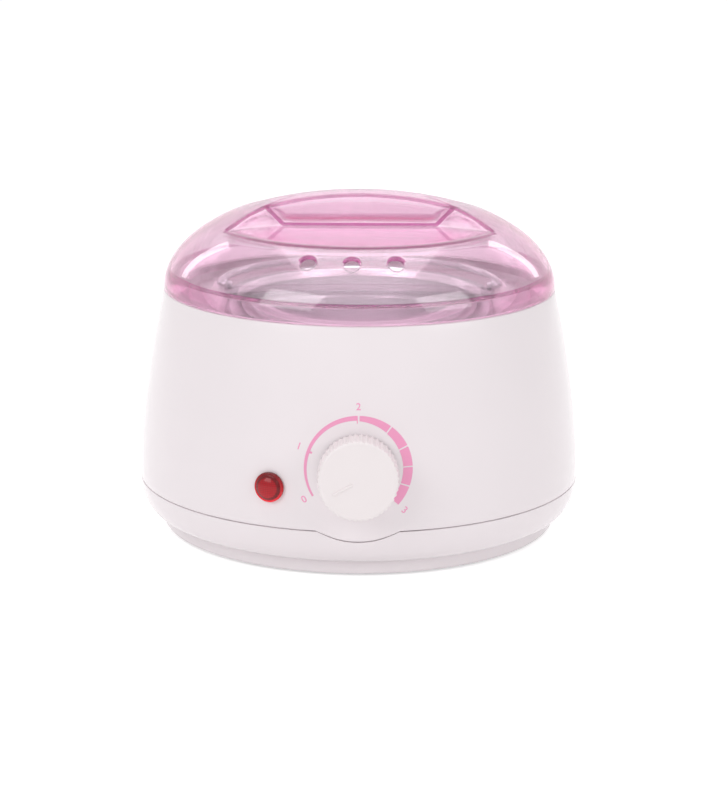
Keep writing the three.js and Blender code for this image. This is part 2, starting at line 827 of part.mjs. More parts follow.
// The knob in its own frame: Z along its axis, out of the housing, with the wall at zero.
function knob() {
  const outline = new THREE.Shape();
  const count = 2 * knobFlutes;
  for (let i = 0; i < count; i += 1) {
    const angle = 2 * Math.PI * i / count;
    const radius = i % 2 === 0 ? knobRadius : knobRadius - knobFluteDepth;
    const [x, y] = [radius * Math.cos(angle), radius * Math.sin(angle)];
    if (i === 0) outline.moveTo(x, y);
    else outline.lineTo(x, y);
  }
  const fluted = new THREE.ExtrudeGeometry(outline, { depth: knobLength, bevelEnabled: false })
    .translate(0, 0, knobLift);
  const face = knobLift + knobLength;
  const rounded = turned([
    [0, 0],
    [knobRadius + overrun, 0],
    [knobRadius + overrun, face - 2 * knobRound],
    [knobRadius, face - knobRound],
    [knobRadius - knobRound, face],
    [0, face],
  ], potSegments);
  const hollowTop = face - knobWall;
  const hollow = ring(knobHubRadius, knobRadius - knobFluteDepth - knobWall, 0, hollowTop);
  const hubStart = bushReach + 2 * fitGap;
  const hubRecess = rod(knobHubRadius + overrun, 0, hubStart);
  const bore = rod(shaftRadius + fitGap, 0, shaftReach + fitGap)
    .rotateZ(offAngle);
  const pointer = block(pointerLength, pointerWidth, pointerHeight + knobRound)
    .translate(pointerStart + pointerLength / 2, 0, face + pointerHeight - (pointerHeight + knobRound) / 2)
    .rotateZ(offAngle);
  return geometryOf(solidOf(fluted)
    .intersect(solidOf(rounded))
    .subtract(solidOf(hollow))
    .subtract(solidOf(hubRecess))
    .add(solidOf(pointer))
    .subtract(solidOf(bore)));
}

// A spring clip that closes the hub of the knob on the shaft.
function knobClip() {
  const inner = knobHubRadius + fitGap;
  const shape = openRing(inner, inner + clipThickness, clipGapAngle);
  const start = bushReach + 3 * fitGap;
  return new THREE.ExtrudeGeometry(shape, {
    depth: clipHeight,
    bevelEnabled: false,
    curveSegments: smallSegments,
  }).translate(0, 0, start);
}

// A capillary thermostat: a flat case behind the wall, and a bush through it for the shaft.
function thermostatBody() {
  const caseTop = -bodyWall - thermostatSetback;
  const body = block(thermostatWidth, thermostatHeight, thermostatDepth)
    .translate(0, 0, caseTop - thermostatDepth / 2);
  const bush = rod(bushRadius, caseTop - fitGap, bushReach);
  const bore = rod(shaftRadius + fitGap, caseTop - thermostatDepth / 2, bushReach + overrun);
  return geometryOf(solidOf(body).add(solidOf(bush)).subtract(solidOf(bore)));
}

function thermostatShaft() {
  const shaftBase = -bodyWall - thermostatDepth / 2;
  const shaft = rod(shaftRadius, shaftBase, shaftReach);
  const flat = block(2 * shaftRadius, shaftRadius, shaftReach)
    .translate(0, shaftRadius - shaftFlat + shaftRadius / 2, bushReach + shaftReach / 2);
  return geometryOf(solidOf(shaft).subtract(solidOf(flat)));
}

function pilotLens() {
  const dome = archPoints([0, lensRim], [lensRadius - lensRim, lensRise - lensRim],
    0, Math.PI / 2, archSteps);
  return turned([
    [lensBoreRadius, -lensStemLength],
    [lensStemRadius, -lensStemLength],
    [lensStemRadius, fitGap],
    [lensRadius, fitGap],
    [lensRadius, lensRim],
    ...dome.slice(0, -1),
    [0, lensRise],
    [0, lensRim],
    [lensBoreRadius, 0],
    [lensBoreRadius, -lensStemLength],
  ], lensSegments);
}

// A neon lamp with round ends, drawn from its front end back.
function pilotLamp() {
  const front = -fitGap;
  const back = front - lampLength;
  const round = [lampRadius, lampRadius];
  const backRound = archPoints([0, back + lampRadius], round, -Math.PI / 2, 0, hiddenSteps);
  const frontRound = archPoints([0, front - lampRadius], round, 0, Math.PI / 2, hiddenSteps);
  return turned([[0, back], ...backRound.slice(1), ...frontRound.slice(0, -1), [0, front]]);
}

function terminalBlock() {
  let body = solidOf(block(blockWidth, blockDepth, blockHeight));
  for (const step of [-1, 0, 1]) {
    const hole = rod(blockHoleRadius, blockHeight / 2 - blockHoleDepth, blockHeight / 2 + overrun);
    body = body.subtract(solidOf(hole.translate(step * blockPitch, 0, 0)));
  }
  return geometryOf(body);
}

// A lead that leaves one place in one direction and arrives at another in a second direction,
// with its last bend as long as the rise or fall between the two.
function lead(start, leaving, end, arriving, radius) {
  const path = new THREE.CubicBezierCurve3(
    start,
    start.clone().addScaledVector(leaving, start.distanceTo(end) * leadPullShare),
    end.clone().addScaledVector(arriving, -Math.abs(end.z - start.z)),
    end,
  );
  return tube(path, radius, leadSides, leadSteps);
}

function cordGland() {
  return turned([
    [glandBoreRadius, -glandInside],
    [glandRadius, -glandInside],
    [glandRadius, fitGap],
    [glandRadius + glandFlange, fitGap],
    [glandRadius + glandFlange, glandFlangeThickness],
    [glandRadius, glandFlangeThickness + fitGap],
    [glandRadius - fitGap, glandCollar],
    [glandBoreRadius, glandCollar],
    [glandBoreRadius, -glandInside],
  ], lensSegments);
}

function addPiece(parent, name, geometry, finish) {
  const mesh = new THREE.Mesh(geometry, new THREE.MeshStandardMaterial(finish));
  mesh.name = name;
  parent.add(mesh);
  return mesh;
}

function seatedGroup(parent, seat) {
  const group = new THREE.Group();
  group.applyMatrix4(seat);
  parent.add(group);
  return group;
}

function addBody(parent) {
  const shell = bodyShell();
  addPiece(parent, 'housing', housing(shell), plastics.whiteShell);
  addPiece(parent, 'base', base(shell), plastics.whiteShell);
  footPlaces.forEach(([x, y], i) => {
    addPiece(parent, `foot_${i + 1}`, foot(), plastics.greyRubber).position.set(x, y, 0);
  });
  postPlaces.forEach(([x, y], i) => {
    const bite = floorThickness + screwBite;
    addPiece(parent, `base_screw_${i + 1}`, screw(bite), metals.steel)
      .position.set(x, y, floorBottom - fitGap);
  });
}

function addWell(parent) {
  addPiece(parent, 'well', well(), metals.aluminium);
  clampAngles().forEach((angle, i) => {
    addPiece(parent, `well_clamp_${i + 1}`, wellClamp(), metals.steel).rotation.z = angle;
    const reach = wellRadius + clampBossOffset;
    const seat = beadBottom - clampThickness - 2 * fitGap;
    addPiece(parent, `clamp_screw_${i + 1}`, screw(wellBeadHeight + clampThickness), metals.steel)
      .position.set(reach * Math.cos(angle), reach * Math.sin(angle), seat);
  });
  addPiece(parent, 'heater_band', heaterBand(), metals.steel);
  addPiece(parent, 'band_screw', bandScrew(), metals.steel)
    .position.set(0, heaterOuter + bandEar / 2, heaterBottom + heaterHeight / 2);
  addPiece(parent, 'insulation', insulation(), plastics.wool);
  const under = wellFloorBottom - fitGap;
  addPiece(parent, 'thermal_fuse', lyingRod(fuseRadius, fuseLength), metals.steel)
    .position.set(0, fuseBack, under - fuseRadius);
  addPiece(parent, 'fuse_strap', strap(fuseRadius), metals.steel)
    .position.set(0, fuseBack, wellFloorBottom);
  addPiece(parent, 'sensor_bulb', lyingRod(bulbRadius, bulbLength), metals.brass)
    .position.set(0, -bulbForward, under - bulbRadius);
  addPiece(parent, 'bulb_strap', strap(bulbRadius), metals.steel)
    .position.set(0, -bulbForward, wellFloorBottom);
}

function addPot(parent) {
  addPiece(parent, 'pot', pot(), metals.aluminium);
  addPiece(parent, 'pot_ear_right', potEar(), metals.steel);
  addPiece(parent, 'pot_ear_left', potEar(), metals.steel).rotation.z = Math.PI;
  addPiece(parent, 'pot_handle', potHandle(), metals.steel).position.set(0, 0, pivotHeight);
}

function addControls(parent) {
  const knobGroup = seatedGroup(parent, knobSeat);
  addPiece(knobGroup, 'knob', knob(), plastics.whiteKnob);
  addPiece(knobGroup, 'knob_clip', knobClip(), metals.steel);
  addPiece(knobGroup, 'thermostat_shaft', thermostatShaft(), metals.brass);
  addPiece(knobGroup, 'thermostat_body', thermostatBody(), plastics.cream);
  addPiece(knobGroup, 'thermostat_nut',
    nut(bushRadius + fitGap, nutRadius, 2 * fitGap, 2 * fitGap + nutHeight), metals.steel);
  const lampGroup = seatedGroup(parent, lensSeat);
  addPiece(lampGroup, 'pilot_lens', pilotLens(), plastics.redLens);
  addPiece(lampGroup, 'pilot_lamp', pilotLamp(), plastics.cream);
  const retainerTop = -bodyWall - wallPlay;
  addPiece(lampGroup, 'lamp_retainer',
    ring(lensStemRadius + fitGap, retainerRadius, retainerTop - retainerThickness, retainerTop),
    metals.steel);
  const glandGroup = seatedGroup(parent, glandSeat);
  addPiece(glandGroup, 'cord_gland', cordGland(), plastics.whiteNylon);
  const nutTop = -bodyWall - wallPlay;
  addPiece(glandGroup, 'gland_nut',
    nut(glandRadius + fitGap, glandNutRadius, nutTop - glandNutHeight, nutTop), plastics.whiteNylon);
}

function addWiring(parent) {
  const blockBottom = floorTop + fitGap;
  addPiece(parent, 'terminal_block', terminalBlock(), plastics.cream)
    .position.set(0, blockBack, blockBottom + blockHeight / 2);
  const [down, up] = [new THREE.Vector3(0, 0, -1), new THREE.Vector3(0, 0, 1)];
  const forward = new THREE.Vector3(0, -1, 0);
  const blockFront = blockBack - blockDepth / 2 - fitGap;
  const leadHeight = blockBottom + blockHeight / 2;
  const caseUnder = -thermostatHeight / 2 - leadRadius;
  const caseMiddle = -bodyWall - thermostatDepth / 2;
  const leftTerminal = new THREE.Vector3(-terminalOffset, caseUnder, caseMiddle).applyMatrix4(knobSeat);
  const rightTerminal = new THREE.Vector3(terminalOffset, caseUnder, caseMiddle).applyMatrix4(knobSeat);
  addPiece(parent, 'lead_thermostat', lead(
    new THREE.Vector3(-blockPitch / 2, blockFront, leadHeight),
    forward,
    leftTerminal,
    up,
    leadRadius,
  ), plastics.leadSleeve);
  const lampBack = new THREE.Vector3(0, 0, -fitGap - lampLength + lampRadius).applyMatrix4(lensSeat);
  lampBack.z -= lampRadius + leadRadius;
  addPiece(parent, 'lead_lamp', lead(
    new THREE.Vector3(-blockPitch, blockFront, leadHeight),
    forward,
    lampBack,
    up,
    leadRadius,
  ), plastics.leadSleeve);
  const tabPlace = Math.sqrt(heaterInner ** 2 - tabOffset ** 2) + bandThickness / 2;
  addPiece(parent, 'lead_heater', lead(
    new THREE.Vector3(blockPitch, blockBack, blockBottom + blockHeight + fitGap),
    up,
    new THREE.Vector3(tabOffset, tabPlace, heaterBottom - tabDrop - fitGap),
    up,
    leadRadius,
  ), plastics.leadSleeve);
  addPiece(parent, 'capillary', lead(
    rightTerminal,
    down,
    new THREE.Vector3(bulbLength / 2 + fitGap, -bulbForward, wellFloorBottom - fitGap - bulbRadius),
    new THREE.Vector3(-1, 0, 0),
    capillaryRadius,
  ), metals.brass);
}

function waxHeater() {
  const heater = new THREE.Group();
  addBody(heater);
  addWell(heater);
  addPot(heater);
  addControls(heater);
  addWiring(heater);
  addPiece(heater, 'lid', lid(), plastics.pinkLid);
  const box = new THREE.Box3().setFromObject(heater);
  heater.position.set(-(box.min.x + box.max.x) / 2, -(box.min.y + box.max.y) / 2, -box.min.z);
  return heater;
}

export default waxHeater();
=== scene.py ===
import json
import math

import bpy
from mathutils import Matrix, Vector


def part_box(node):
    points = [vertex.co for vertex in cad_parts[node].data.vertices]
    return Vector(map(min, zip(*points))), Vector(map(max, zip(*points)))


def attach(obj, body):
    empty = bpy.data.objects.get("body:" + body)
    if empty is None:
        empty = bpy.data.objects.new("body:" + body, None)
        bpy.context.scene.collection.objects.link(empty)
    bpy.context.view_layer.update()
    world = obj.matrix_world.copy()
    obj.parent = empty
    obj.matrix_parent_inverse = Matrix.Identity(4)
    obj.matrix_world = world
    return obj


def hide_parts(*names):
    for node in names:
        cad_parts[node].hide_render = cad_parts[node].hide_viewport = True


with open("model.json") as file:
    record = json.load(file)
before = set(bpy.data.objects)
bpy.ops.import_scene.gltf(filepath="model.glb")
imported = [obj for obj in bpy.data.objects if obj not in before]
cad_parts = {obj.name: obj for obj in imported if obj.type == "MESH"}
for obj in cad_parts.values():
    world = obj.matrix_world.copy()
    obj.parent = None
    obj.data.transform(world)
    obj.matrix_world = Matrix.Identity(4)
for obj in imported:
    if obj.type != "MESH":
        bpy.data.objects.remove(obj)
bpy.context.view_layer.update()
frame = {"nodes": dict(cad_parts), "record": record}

bl_info = {
    "name": "Wax heater",
    "version": (1, 0, 0),
    "blender": (4, 5, 0),
    "location": "3D View > Sidebar > Wax heater",
    "description": "Models the visible pieces of a table-top wax heater round its fixed frame",
    "category": "Add Mesh",
}

MM = 0.001
POT_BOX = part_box("pot")
# The pot is round, so its middle is the upright axis of the whole heater.
AXIS_Y = (POT_BOX[0].y + POT_BOX[1].y) / 2
CENTRE = Vector((0, AXIS_Y, 0))
UP = Vector((0, 0, 1))
# How far a cutting tool reaches past what it cuts
PAST = 2 * MM


def linear(hex_colour):
    """The linear colour of an sRGB hex value."""
    values = [int(hex_colour[i:i + 2], 16) / 255 for i in (1, 3, 5)]
    return [v / 12.92 if v <= 0.04045 else ((v + 0.055) / 1.055) ** 2.4 for v in values]


def length(name, description, millimetres):
    return bpy.props.FloatProperty(
        name=name, description=description, default=millimetres * MM, unit="LENGTH", precision=5)


def share(name, description, value):
    return bpy.props.FloatProperty(name=name, description=description, default=value)


def angle(name, description, degrees):
    return bpy.props.FloatProperty(
        name=name, description=description, default=math.radians(degrees), subtype="ANGLE")


def count(name, description, value):
    return bpy.props.IntProperty(name=name, description=description, default=value, min=1)


def colour(name, description, hex_colour):
    return bpy.props.FloatVectorProperty(
        name=name, description=description, default=linear(hex_colour), subtype="COLOR", min=0, max=1)


class BodySizes(bpy.types.PropertyGroup):
    half_width: length("Half width", "From the middle to the side, at the seam", 92.6)
    swell: length("Swell", "How much narrower the body is at the lid joint", 11.2)
    side_curve: share("Side curve", "How late the side turns inwards on its way up", 1.7)
    depth_share: share("Depth share", "Depth from front to back as a share of the width", 0.9)
    seam: length("Seam height", "Lower edge of the housing", 22)
    seam_gap: length("Seam gap", "Open line between housing and base", 0.5)
    joint: length("Joint height", "Upper edge of the housing, under the lid", 102)
    wall: length("Wall", "Thickness of the moulded wall", 2.5)
    deck: length("Deck height", "Top of the deck that carries the well", 95)
    deck_opening: length("Deck opening", "Radius of the hole for the well", 54.5)
    lobe_half_width: length("Lobe half width", "Half the width of the dip under the knob", 16.6)
    lobe_drop: length("Lobe drop", "How far the dip reaches below the seam", 4.2)
    bowl_end: length("Bowl end", "Half width of the base where the bowl meets the stand", 84.3)
    stand: length("Stand", "Half width of the stand ring", 82.8)
    stand_top: length("Stand top", "Height of the notch between bowl and stand", 7.3)
    stand_bottom: length("Stand bottom", "Lower edge of the stand ring", 1.2)
    stand_wall: length("Stand wall", "Thickness of the stand ring", 3)
    floor: length("Floor", "Underside of the base's floor", 4.2)
    seam_round: length("Seam round", "Width of the bevel along the seam", 0.35)
    clearance: length("Clearance", "Gap between pieces that fit together", 0.3)
    foot_radius: length("Foot radius", "Radius of a rubber foot", 6)
    foot_inset: length("Foot inset", "From the bowl's wall to a foot's axis", 11.8)
    foot_turn: angle("Foot turn", "Where a foot stands in its quarter of the oval", 60)
    peg_hole: length("Peg hole", "Radius of the hole for a foot's peg", 2.3)
    screw_head: length("Screw head", "Radius of a screw's head", 2.8)
    screw_bore: length("Screw bore", "Radius of a screw's hole", 1.6)
    screw_depth: length("Screw depth", "End of a screw's hole above the floor's underside", 19)
    post_inset: length("Post inset", "From the bowl's wall to a post's axis", 8)
    post_turn: angle("Post turn", "Where a post stands in its quarter of the oval", 45)
    post_radius: length("Post radius", "Radius of a screw post", 4)
    boss_gap: length("Boss gap", "From the well to the axis of a clamp's boss", 7.6)
    boss_radius: length("Boss radius", "Radius of a clamp's boss", 3.6)
    boss_length: length("Boss length", "From the deck's top to the end of a boss", 9)


class LidSizes(bpy.types.PropertyGroup):
    half_width: length("Half width", "From the middle to the side of the rim", 81.5)
    bottom: length("Bottom", "Height of the rim", 102.3)
    rise: length("Rise", "Height of the dome above the rim", 39.4)
    wall: length("Wall", "Thickness of the clear wall", 2.2)
    skirt: length("Skirt", "Half width of the skirt inside the housing", 78.3)
    skirt_wall: length("Skirt wall", "Thickness of the skirt", 2)
    skirt_drop: length("Skirt drop", "How far the skirt reaches into the housing", 3)
    band: length("Band", "Height of the thick band above the rim", 7.2)
    pocket_depth: length("Pocket depth", "How deep the finger pockets are below the crown", 12.6)
    grip_half_length: length("Grip half length", "Half the length of the pinch grip", 31)
    grip_half_thickness: length("Grip half thickness", "Half the thickness of the grip at its foot", 10.5)
    grip_lean: share("Grip lean", "How far the grip's walls lean in for their height", 0.33)
    wing_flare: share("Wing flare", "How far the pocket's ends lean out for their height", 1.05)
    wing_angle: angle("Wing angle", "How far the pocket's ends turn to the front", 26)
    edge: length("Edge", "Softness of the edges round the pockets", 1.1)
    outer_softness: share("Outer softness", "Softness of a pocket's floor outside, as edges", 1.2)
    inner_softness: share("Inner softness", "Softness of a pocket's floor inside, as edges", 5)
    vent_radius: length("Vent radius", "Radius of a vent", 3.2)
    vent_spacing: length("Vent spacing", "From one vent to the next", 17.4)
    vent_shift: length("Vent shift", "How far the row stands left of the middle", -2.9)
    vent_rise: length("Vent rise", "Height of the vents above the rim", 21.8)


class PotSizes(bpy.types.PropertyGroup):
    rim_radius: length("Rim radius", "Outer radius of the rolled rim", 55.4)
    rim_width: length("Rim width", "From the wall to the outer edge of the rim", 4.9)
    rim_top: length("Rim top", "Height of the top of the rim", 98.8)
    rim_thickness: length("Rim thickness", "Thickness of the rolled rim", 2)
    depth: length("Depth", "Height of the pot", 68)
    taper: length("Taper", "How much narrower the pot is at its floor", 2)
    wall: length("Wall", "Thickness of the sheet", 1.2)
    fillet: length("Fillet", "Radius between wall and floor", 6)
    floor_lift: length("Floor lift", "How far the middle of the floor stands up", 0.6)
    handle_radius: length("Handle radius", "Radius of the wire handle's arc", 58)
    handle_bend: length("Handle bend", "Radius of the bend between the arc and a pin", 2.4)
    wire: length("Wire", "Radius of the wire", 1.5)
    pivot: length("Pivot", "Height of the handle's hinge line", 102)
    pin: length("Pin", "How far the wire reaches inwards at its ends", 3.4)
    ear_width: length("Ear width", "Width of an ear", 8)
    ear_height: length("Ear height", "Height of an ear", 5.6)
    ear_thickness: length("Ear thickness", "Thickness of an ear's sheet", 1.4)
    ear_foot: length("Ear foot", "Length of an ear's foot", 4.2)
    well_radius: length("Well radius", "Outer radius of the well", 52.7)
    well_flange: length("Well flange", "Width of the well's flange", 5.3)
    bead_drop: length("Bead drop", "From the deck's top to the lower edge of the well's bead", 9)
    bead_rise: length("Bead rise", "How far the well's bead stands out", 1.5)


class ControlSizes(bpy.types.PropertyGroup):
    knob_height: length("Knob height", "Height of the knob's axis at the wall", 45.6)
    knob_radius: length("Knob radius", "Outer radius over the flutes", 15.8)
    knob_length: length("Knob length", "From the knob's back to its face", 14.2)
    knob_lift: length("Knob lift", "Gap between the knob and the wall", 0.6)
    knob_round: length("Knob round", "Radius of the edge round the face", 1.6)
    knob_wall: length("Knob wall", "Thickness of the knob's face", 2)
    knob_inside: length("Knob inside", "Radius of the hollow back", 13.5)
    hub_radius: length("Hub radius", "Radius of the knob's hub", 5.4)
    recess_radius: length("Recess radius", "Radius of the room round the bush", 7.4)
    recess_depth: length("Recess depth", "Depth of the room round the bush", 4.2)
    shaft_bore: length("Shaft bore", "Radius of the hole for the shaft", 3.3)
    shaft_depth: length("Shaft depth", "Depth of the hole for the shaft", 11.3)
    bush_hole: length("Bush hole", "Radius of the wall's hole for the thermostat's bush", 4.9)
    flutes: count("Flutes", "Number of flutes round the knob", 44)
    flute_depth: length("Flute depth", "Depth of a flute", 0.6)
    pointer_start: length("Pointer start", "From the axis to the pointer", 2.4)
    pointer_length: length("Pointer length", "Length of the raised pointer", 8.6)
    pointer_width: length("Pointer width", "Width of the raised pointer", 0.9)
    pointer_height: length("Pointer height", "Height of the raised pointer", 0.5)
    off_angle: angle("Off angle", "Where the pointer stands when the heater is off", 209)
    lens_side: length("Lens side", "How far the pilot lamp stands from the middle", -34.6)
    lens_height: length("Lens height", "Height of the pilot lamp", 38.3)
    lens_radius: length("Lens radius", "Radius of the lens's rim", 6)
    lens_rise: length("Lens rise", "How far the lens stands out", 3.6)
    lens_stem: length("Lens stem", "Radius of the lens's stem", 4.6)
    gland_height: length("Gland height", "Height of the cord gland", 34)
    gland_radius: length("Gland radius", "Radius of the gland's collar", 6.5)
    gland_bore: length("Gland bore", "Radius of the gland's bore", 3.6)
    dial_height: length("Dial height", "Height of the printed scale's middle at the wall", 47.05)
    dial_radius: length("Dial radius", "Outer radius of the printed scale", 21.2)
    dial_width: length("Dial width", "Width of the scale's broad end", 3.7)
    dial_line: length("Dial line", "Width of the scale's fine end", 0.8)
    number_radius: length("Number radius", "From the axis to the middle of a number", 24.6)
    number_size: length("Number size", "Height of the numbers' type", 3.9)
    print_height: length("Print height", "Thickness of the ink", 0.03)


class Finishes(bpy.types.PropertyGroup):
    shell: colour("Shell", "White ABS of the housing and base", "#F1E9EC")
    knob: colour("Knob", "White ABS of the knob", "#F1E9EA")
    lid_tint: colour("Lid tint", "What 2.2 mm of the lid lets through", "#FDF0F8")
    # The lid's edge colour is painted shade, laid along its vents, ledge and pockets in place of the deep
    # colour that refraction shows there
    lid_edge_painted_shade: colour("Lid edge", "What the lid shows along its edges, deep in its thickness", "#860D5C")
    lens: colour("Lens", "Red plastic of the pilot lens", "#BE1A26")
    ink: colour("Ink", "Pink ink of the scale", "#F3A0C6")
    aluminium: colour("Aluminium", "Spun sheet of the pot", "#F9F9FA")
    rubber: colour("Rubber", "Feet", "#6F6F72")


class HeaterSettings(bpy.types.PropertyGroup):
    body: bpy.props.PointerProperty(type=BodySizes, name="Body", description="Housing and base")
    lid: bpy.props.PointerProperty(type=LidSizes, name="Lid", description="Clear lid")
    pot: bpy.props.PointerProperty(type=PotSizes, name="Pot", description="Pot, handle and well")
    control: bpy.props.PointerProperty(type=ControlSizes, name="Controls", description="Knob, lamp, dial")
    finish: bpy.props.PointerProperty(type=Finishes, name="Finishes", description="Colours")


def settings():
    return bpy.context.scene.wax_heater


# Modelling helpers: each starts from a primitive and works in edit mode with the usual operators

def primitive(operator, name, **options):
    """Adds a primitive, names it and leaves it in edit mode with all of it selected."""
    if bpy.context.object and bpy.context.object.mode != "OBJECT":
        to_mode("OBJECT")
    bpy.ops.object.select_all(action="DESELECT")
    operator(**options)
    piece = bpy.context.object
    piece.name = piece.data.name = name
    to_mode("EDIT")
    bpy.ops.mesh.select_mode(type="VERT")
    return piece


def to_mode(mode):
    bpy.ops.object.mode_set(mode=mode)


def select_all():
    bpy.ops.mesh.select_all(action="SELECT")


def move(step):
    bpy.ops.transform.translate(value=step)


def extrude(step):
    bpy.ops.mesh.extrude_region_move(TRANSFORM_OT_translate={"value": step})


def spin(steps, turn, centre=(0, 0, 0), **options):
    """Spins what is selected round an upright axis, clockwise for a positive turn."""
    bpy.ops.mesh.spin(steps=steps, angle=turn, center=centre, axis=UP, **options)


def activate(piece):
    bpy.ops.object.select_all(action="DESELECT")
    piece.select_set(True)
    bpy.context.view_layer.objects.active = piece


def pick(piece, mode, test):
    """Selects the faces, edges or vertices of a piece in edit mode that pass. A test gets the centre,
    and the normal or an edge's direction."""
    bpy.ops.mesh.select_mode(type=mode)
    bpy.ops.mesh.select_all(action="DESELECT")
    to_mode("OBJECT")
    mesh = piece.data
    if mode == "FACE":
        for face in mesh.polygons:
            face.select = test(face.center, face.normal)
    elif mode == "VERT":
        for vertex in mesh.vertices:
            vertex.select = test(vertex.co, vertex.normal)
    else:
        for edge in mesh.edges:
            start, end = (mesh.vertices[i].co for i in edge.vertices)
            edge.select = test((start + end) / 2, (end - start).normalized())
    to_mode("EDIT")


def draw_line(name, points):
    """Draws a line of corners from one vertex, extruded from point to point."""
    piece = primitive(bpy.ops.mesh.primitive_plane_add, name, size=MM)
    bpy.ops.mesh.merge(type="CENTER")
    move(points[0])
    for here, there in zip(points, points[1:]):
        extrude(Vector(there) - Vector(here))
    return piece


def tidy_surface(threshold=1e-7):
    """Merges what lies in one place and turns all faces outwards."""
    select_all()
    bpy.ops.mesh.remove_doubles(threshold=threshold)
    bpy.ops.mesh.normals_make_consistent(inside=False)
    to_mode("OBJECT")


def revolve(name, profile, segments=128, depth_share=1):
    """Draws a profile of (radius, height) points and spins it round the Z axis into a closed body."""
    piece = draw_line(name, [(radius, 0, height) for radius, height in profile])
    select_all()
    spin(segments, 2 * math.pi)
    select_all()
    bpy.ops.transform.resize(value=(1, depth_share, 1), center_override=(0, 0, 0))
    tidy_surface()
    return piece


def extruded(name, outline, start, end):
    """A closed outline of (x, z) points, filled and extruded through Y from start to end."""
    piece = draw_line(name, [(x, start, z) for x, z in outline])
    select_all()
    bpy.ops.mesh.edge_face_add()
    extrude((0, end - start, 0))
    tidy_surface()
    return piece


def block(name, size, middle=(0, 0, 0)):
    piece = primitive(bpy.ops.mesh.primitive_cube_add, name, size=1)
    bpy.ops.transform.resize(value=size)
    move(middle)
    to_mode("OBJECT")
    return piece


def rod(name, radius, start, end, segments=32):
    return revolve(name, [(0, start), (radius, start), (radius, end), (0, end)], segments)


def modified(piece, kind, **options):
    """Applies a modifier with these options."""
    activate(piece)
    bpy.ops.object.modifier_add(type=kind)
    modifier = piece.modifiers[-1]
    for key, value in options.items():
        setattr(modifier, key, value)
    bpy.ops.object.modifier_apply(modifier=modifier.name)
    return piece


def combine(piece, tool, operation="DIFFERENCE"):
    """Cuts, joins or intersects a piece with a tool, which is used up."""
    modified(piece, "BOOLEAN", operation=operation, solver="EXACT", object=tool)
    bpy.data.objects.remove(tool)
    return piece


def bevel(piece, width, segments=3, limit=30):
    return modified(piece, "BEVEL", width=width, segments=segments, limit_method="ANGLE",
                    angle_limit=math.radians(limit))


def joined(pieces):
    activate(pieces[0])
    for piece in pieces[1:]:
        piece.select_set(True)
    bpy.ops.object.join()
    return pieces[0]


def place(piece, matrix):
    """Puts a finished mesh where it belongs, with its object left at the origin."""
    piece.matrix_world = matrix
    activate(piece)
    bpy.ops.object.transform_apply(location=True, rotation=True, scale=True)
    return piece


def copied(piece, name, matrix):
    activate(piece)
    bpy.ops.object.duplicate()
    copy = bpy.context.object
    copy.name = copy.data.name = name
    return place(copy, matrix)


def at(x=0, y=0, z=0):
    """A shift from the heater's axis at table height."""
    return Matrix.Translation(CENTRE + Vector((x, y, z)))


def hand_over(piece, body, slot, *nodes, smooth=30):
    """Gives a finished piece its shading, finish and body, and hides the nodes that it stands for."""
    activate(piece)
    bpy.ops.object.shade_smooth_by_angle(angle=math.radians(smooth))
    piece.data.materials.clear()
    piece.data.materials.append(finish_of(slot))
    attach(piece, body)
    if nodes:
        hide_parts(*nodes)


def arc(centre, radii, start, end, steps):
    """Points of an elliptical arc between two angles in degrees."""
    points = []
    for i in range(steps + 1):
        turn = math.radians(start + (end - start) * i / steps)
        points.append((centre[0] + radii[0] * math.cos(turn), centre[1] + radii[1] * math.sin(turn)))
    return points


def rounded(corners, steps=4):
    """A line of corners (x, z) or (x, z, radius), with an arc of that radius in place of the corner."""
    line = []
    for i, corner in enumerate(corners):
        here = Vector(corner[:2])
        if len(corner) < 3:
            line.append(tuple(here))
            continue
        back = (Vector(corners[i - 1][:2]) - here).normalized()
        ahead = (Vector(corners[i + 1][:2]) - here).normalized()
        half = back.angle(ahead) / 2
        reach = corner[2] / math.tan(half)
        middle = here + (back + ahead).normalized() * corner[2] / math.sin(half)
        first, last = here + back * reach - middle, here + ahead * reach - middle
        for step in range(steps + 1):
            line.append(tuple(middle + first.lerp(last, step / steps).normalized() * corner[2]))
    return line


# Places on the outer surfaces

def seat_on(spot, out):
    """A seat at a spot: Z points out of the surface, Y up along it."""
    across = UP.cross(out).normalized()
    seat = Matrix((across, out.cross(across), out)).transposed().to_4x4()
    seat.translation = spot
    return seat


def wall_half_width(height):
    body = settings().body
    climb = (height - body.seam) / (body.joint - body.seam)
    return body.half_width - body.swell * climb ** body.side_curve


def wall_seat(side, height, facing):
    """The seat of a piece on the housing's wall, at the front (facing -1) or the back (1)."""
    body = settings().body
    half_width = wall_half_width(height)
    half_depth = body.depth_share * half_width
    y = facing * half_depth * math.sqrt(1 - (side / half_width) ** 2)
    span = body.joint - body.seam
    climb = (height - body.seam) / span
    slope = -body.swell * body.side_curve * climb ** (body.side_curve - 1) / span
    out = Vector((side / half_width ** 2, y / half_depth ** 2, -slope / half_width)).normalized()
    return seat_on(CENTRE + Vector((side, y, height)), out)


def knob_seat():
    return wall_seat(0, settings().control.knob_height, -1)


def dial_seat():
    return wall_seat(0, settings().control.dial_height, -1)


def lens_seat():
    control = settings().control
    return wall_seat(control.lens_side, control.lens_height, -1)


def gland_seat():
    return wall_seat(0, settings().control.gland_height, 1)


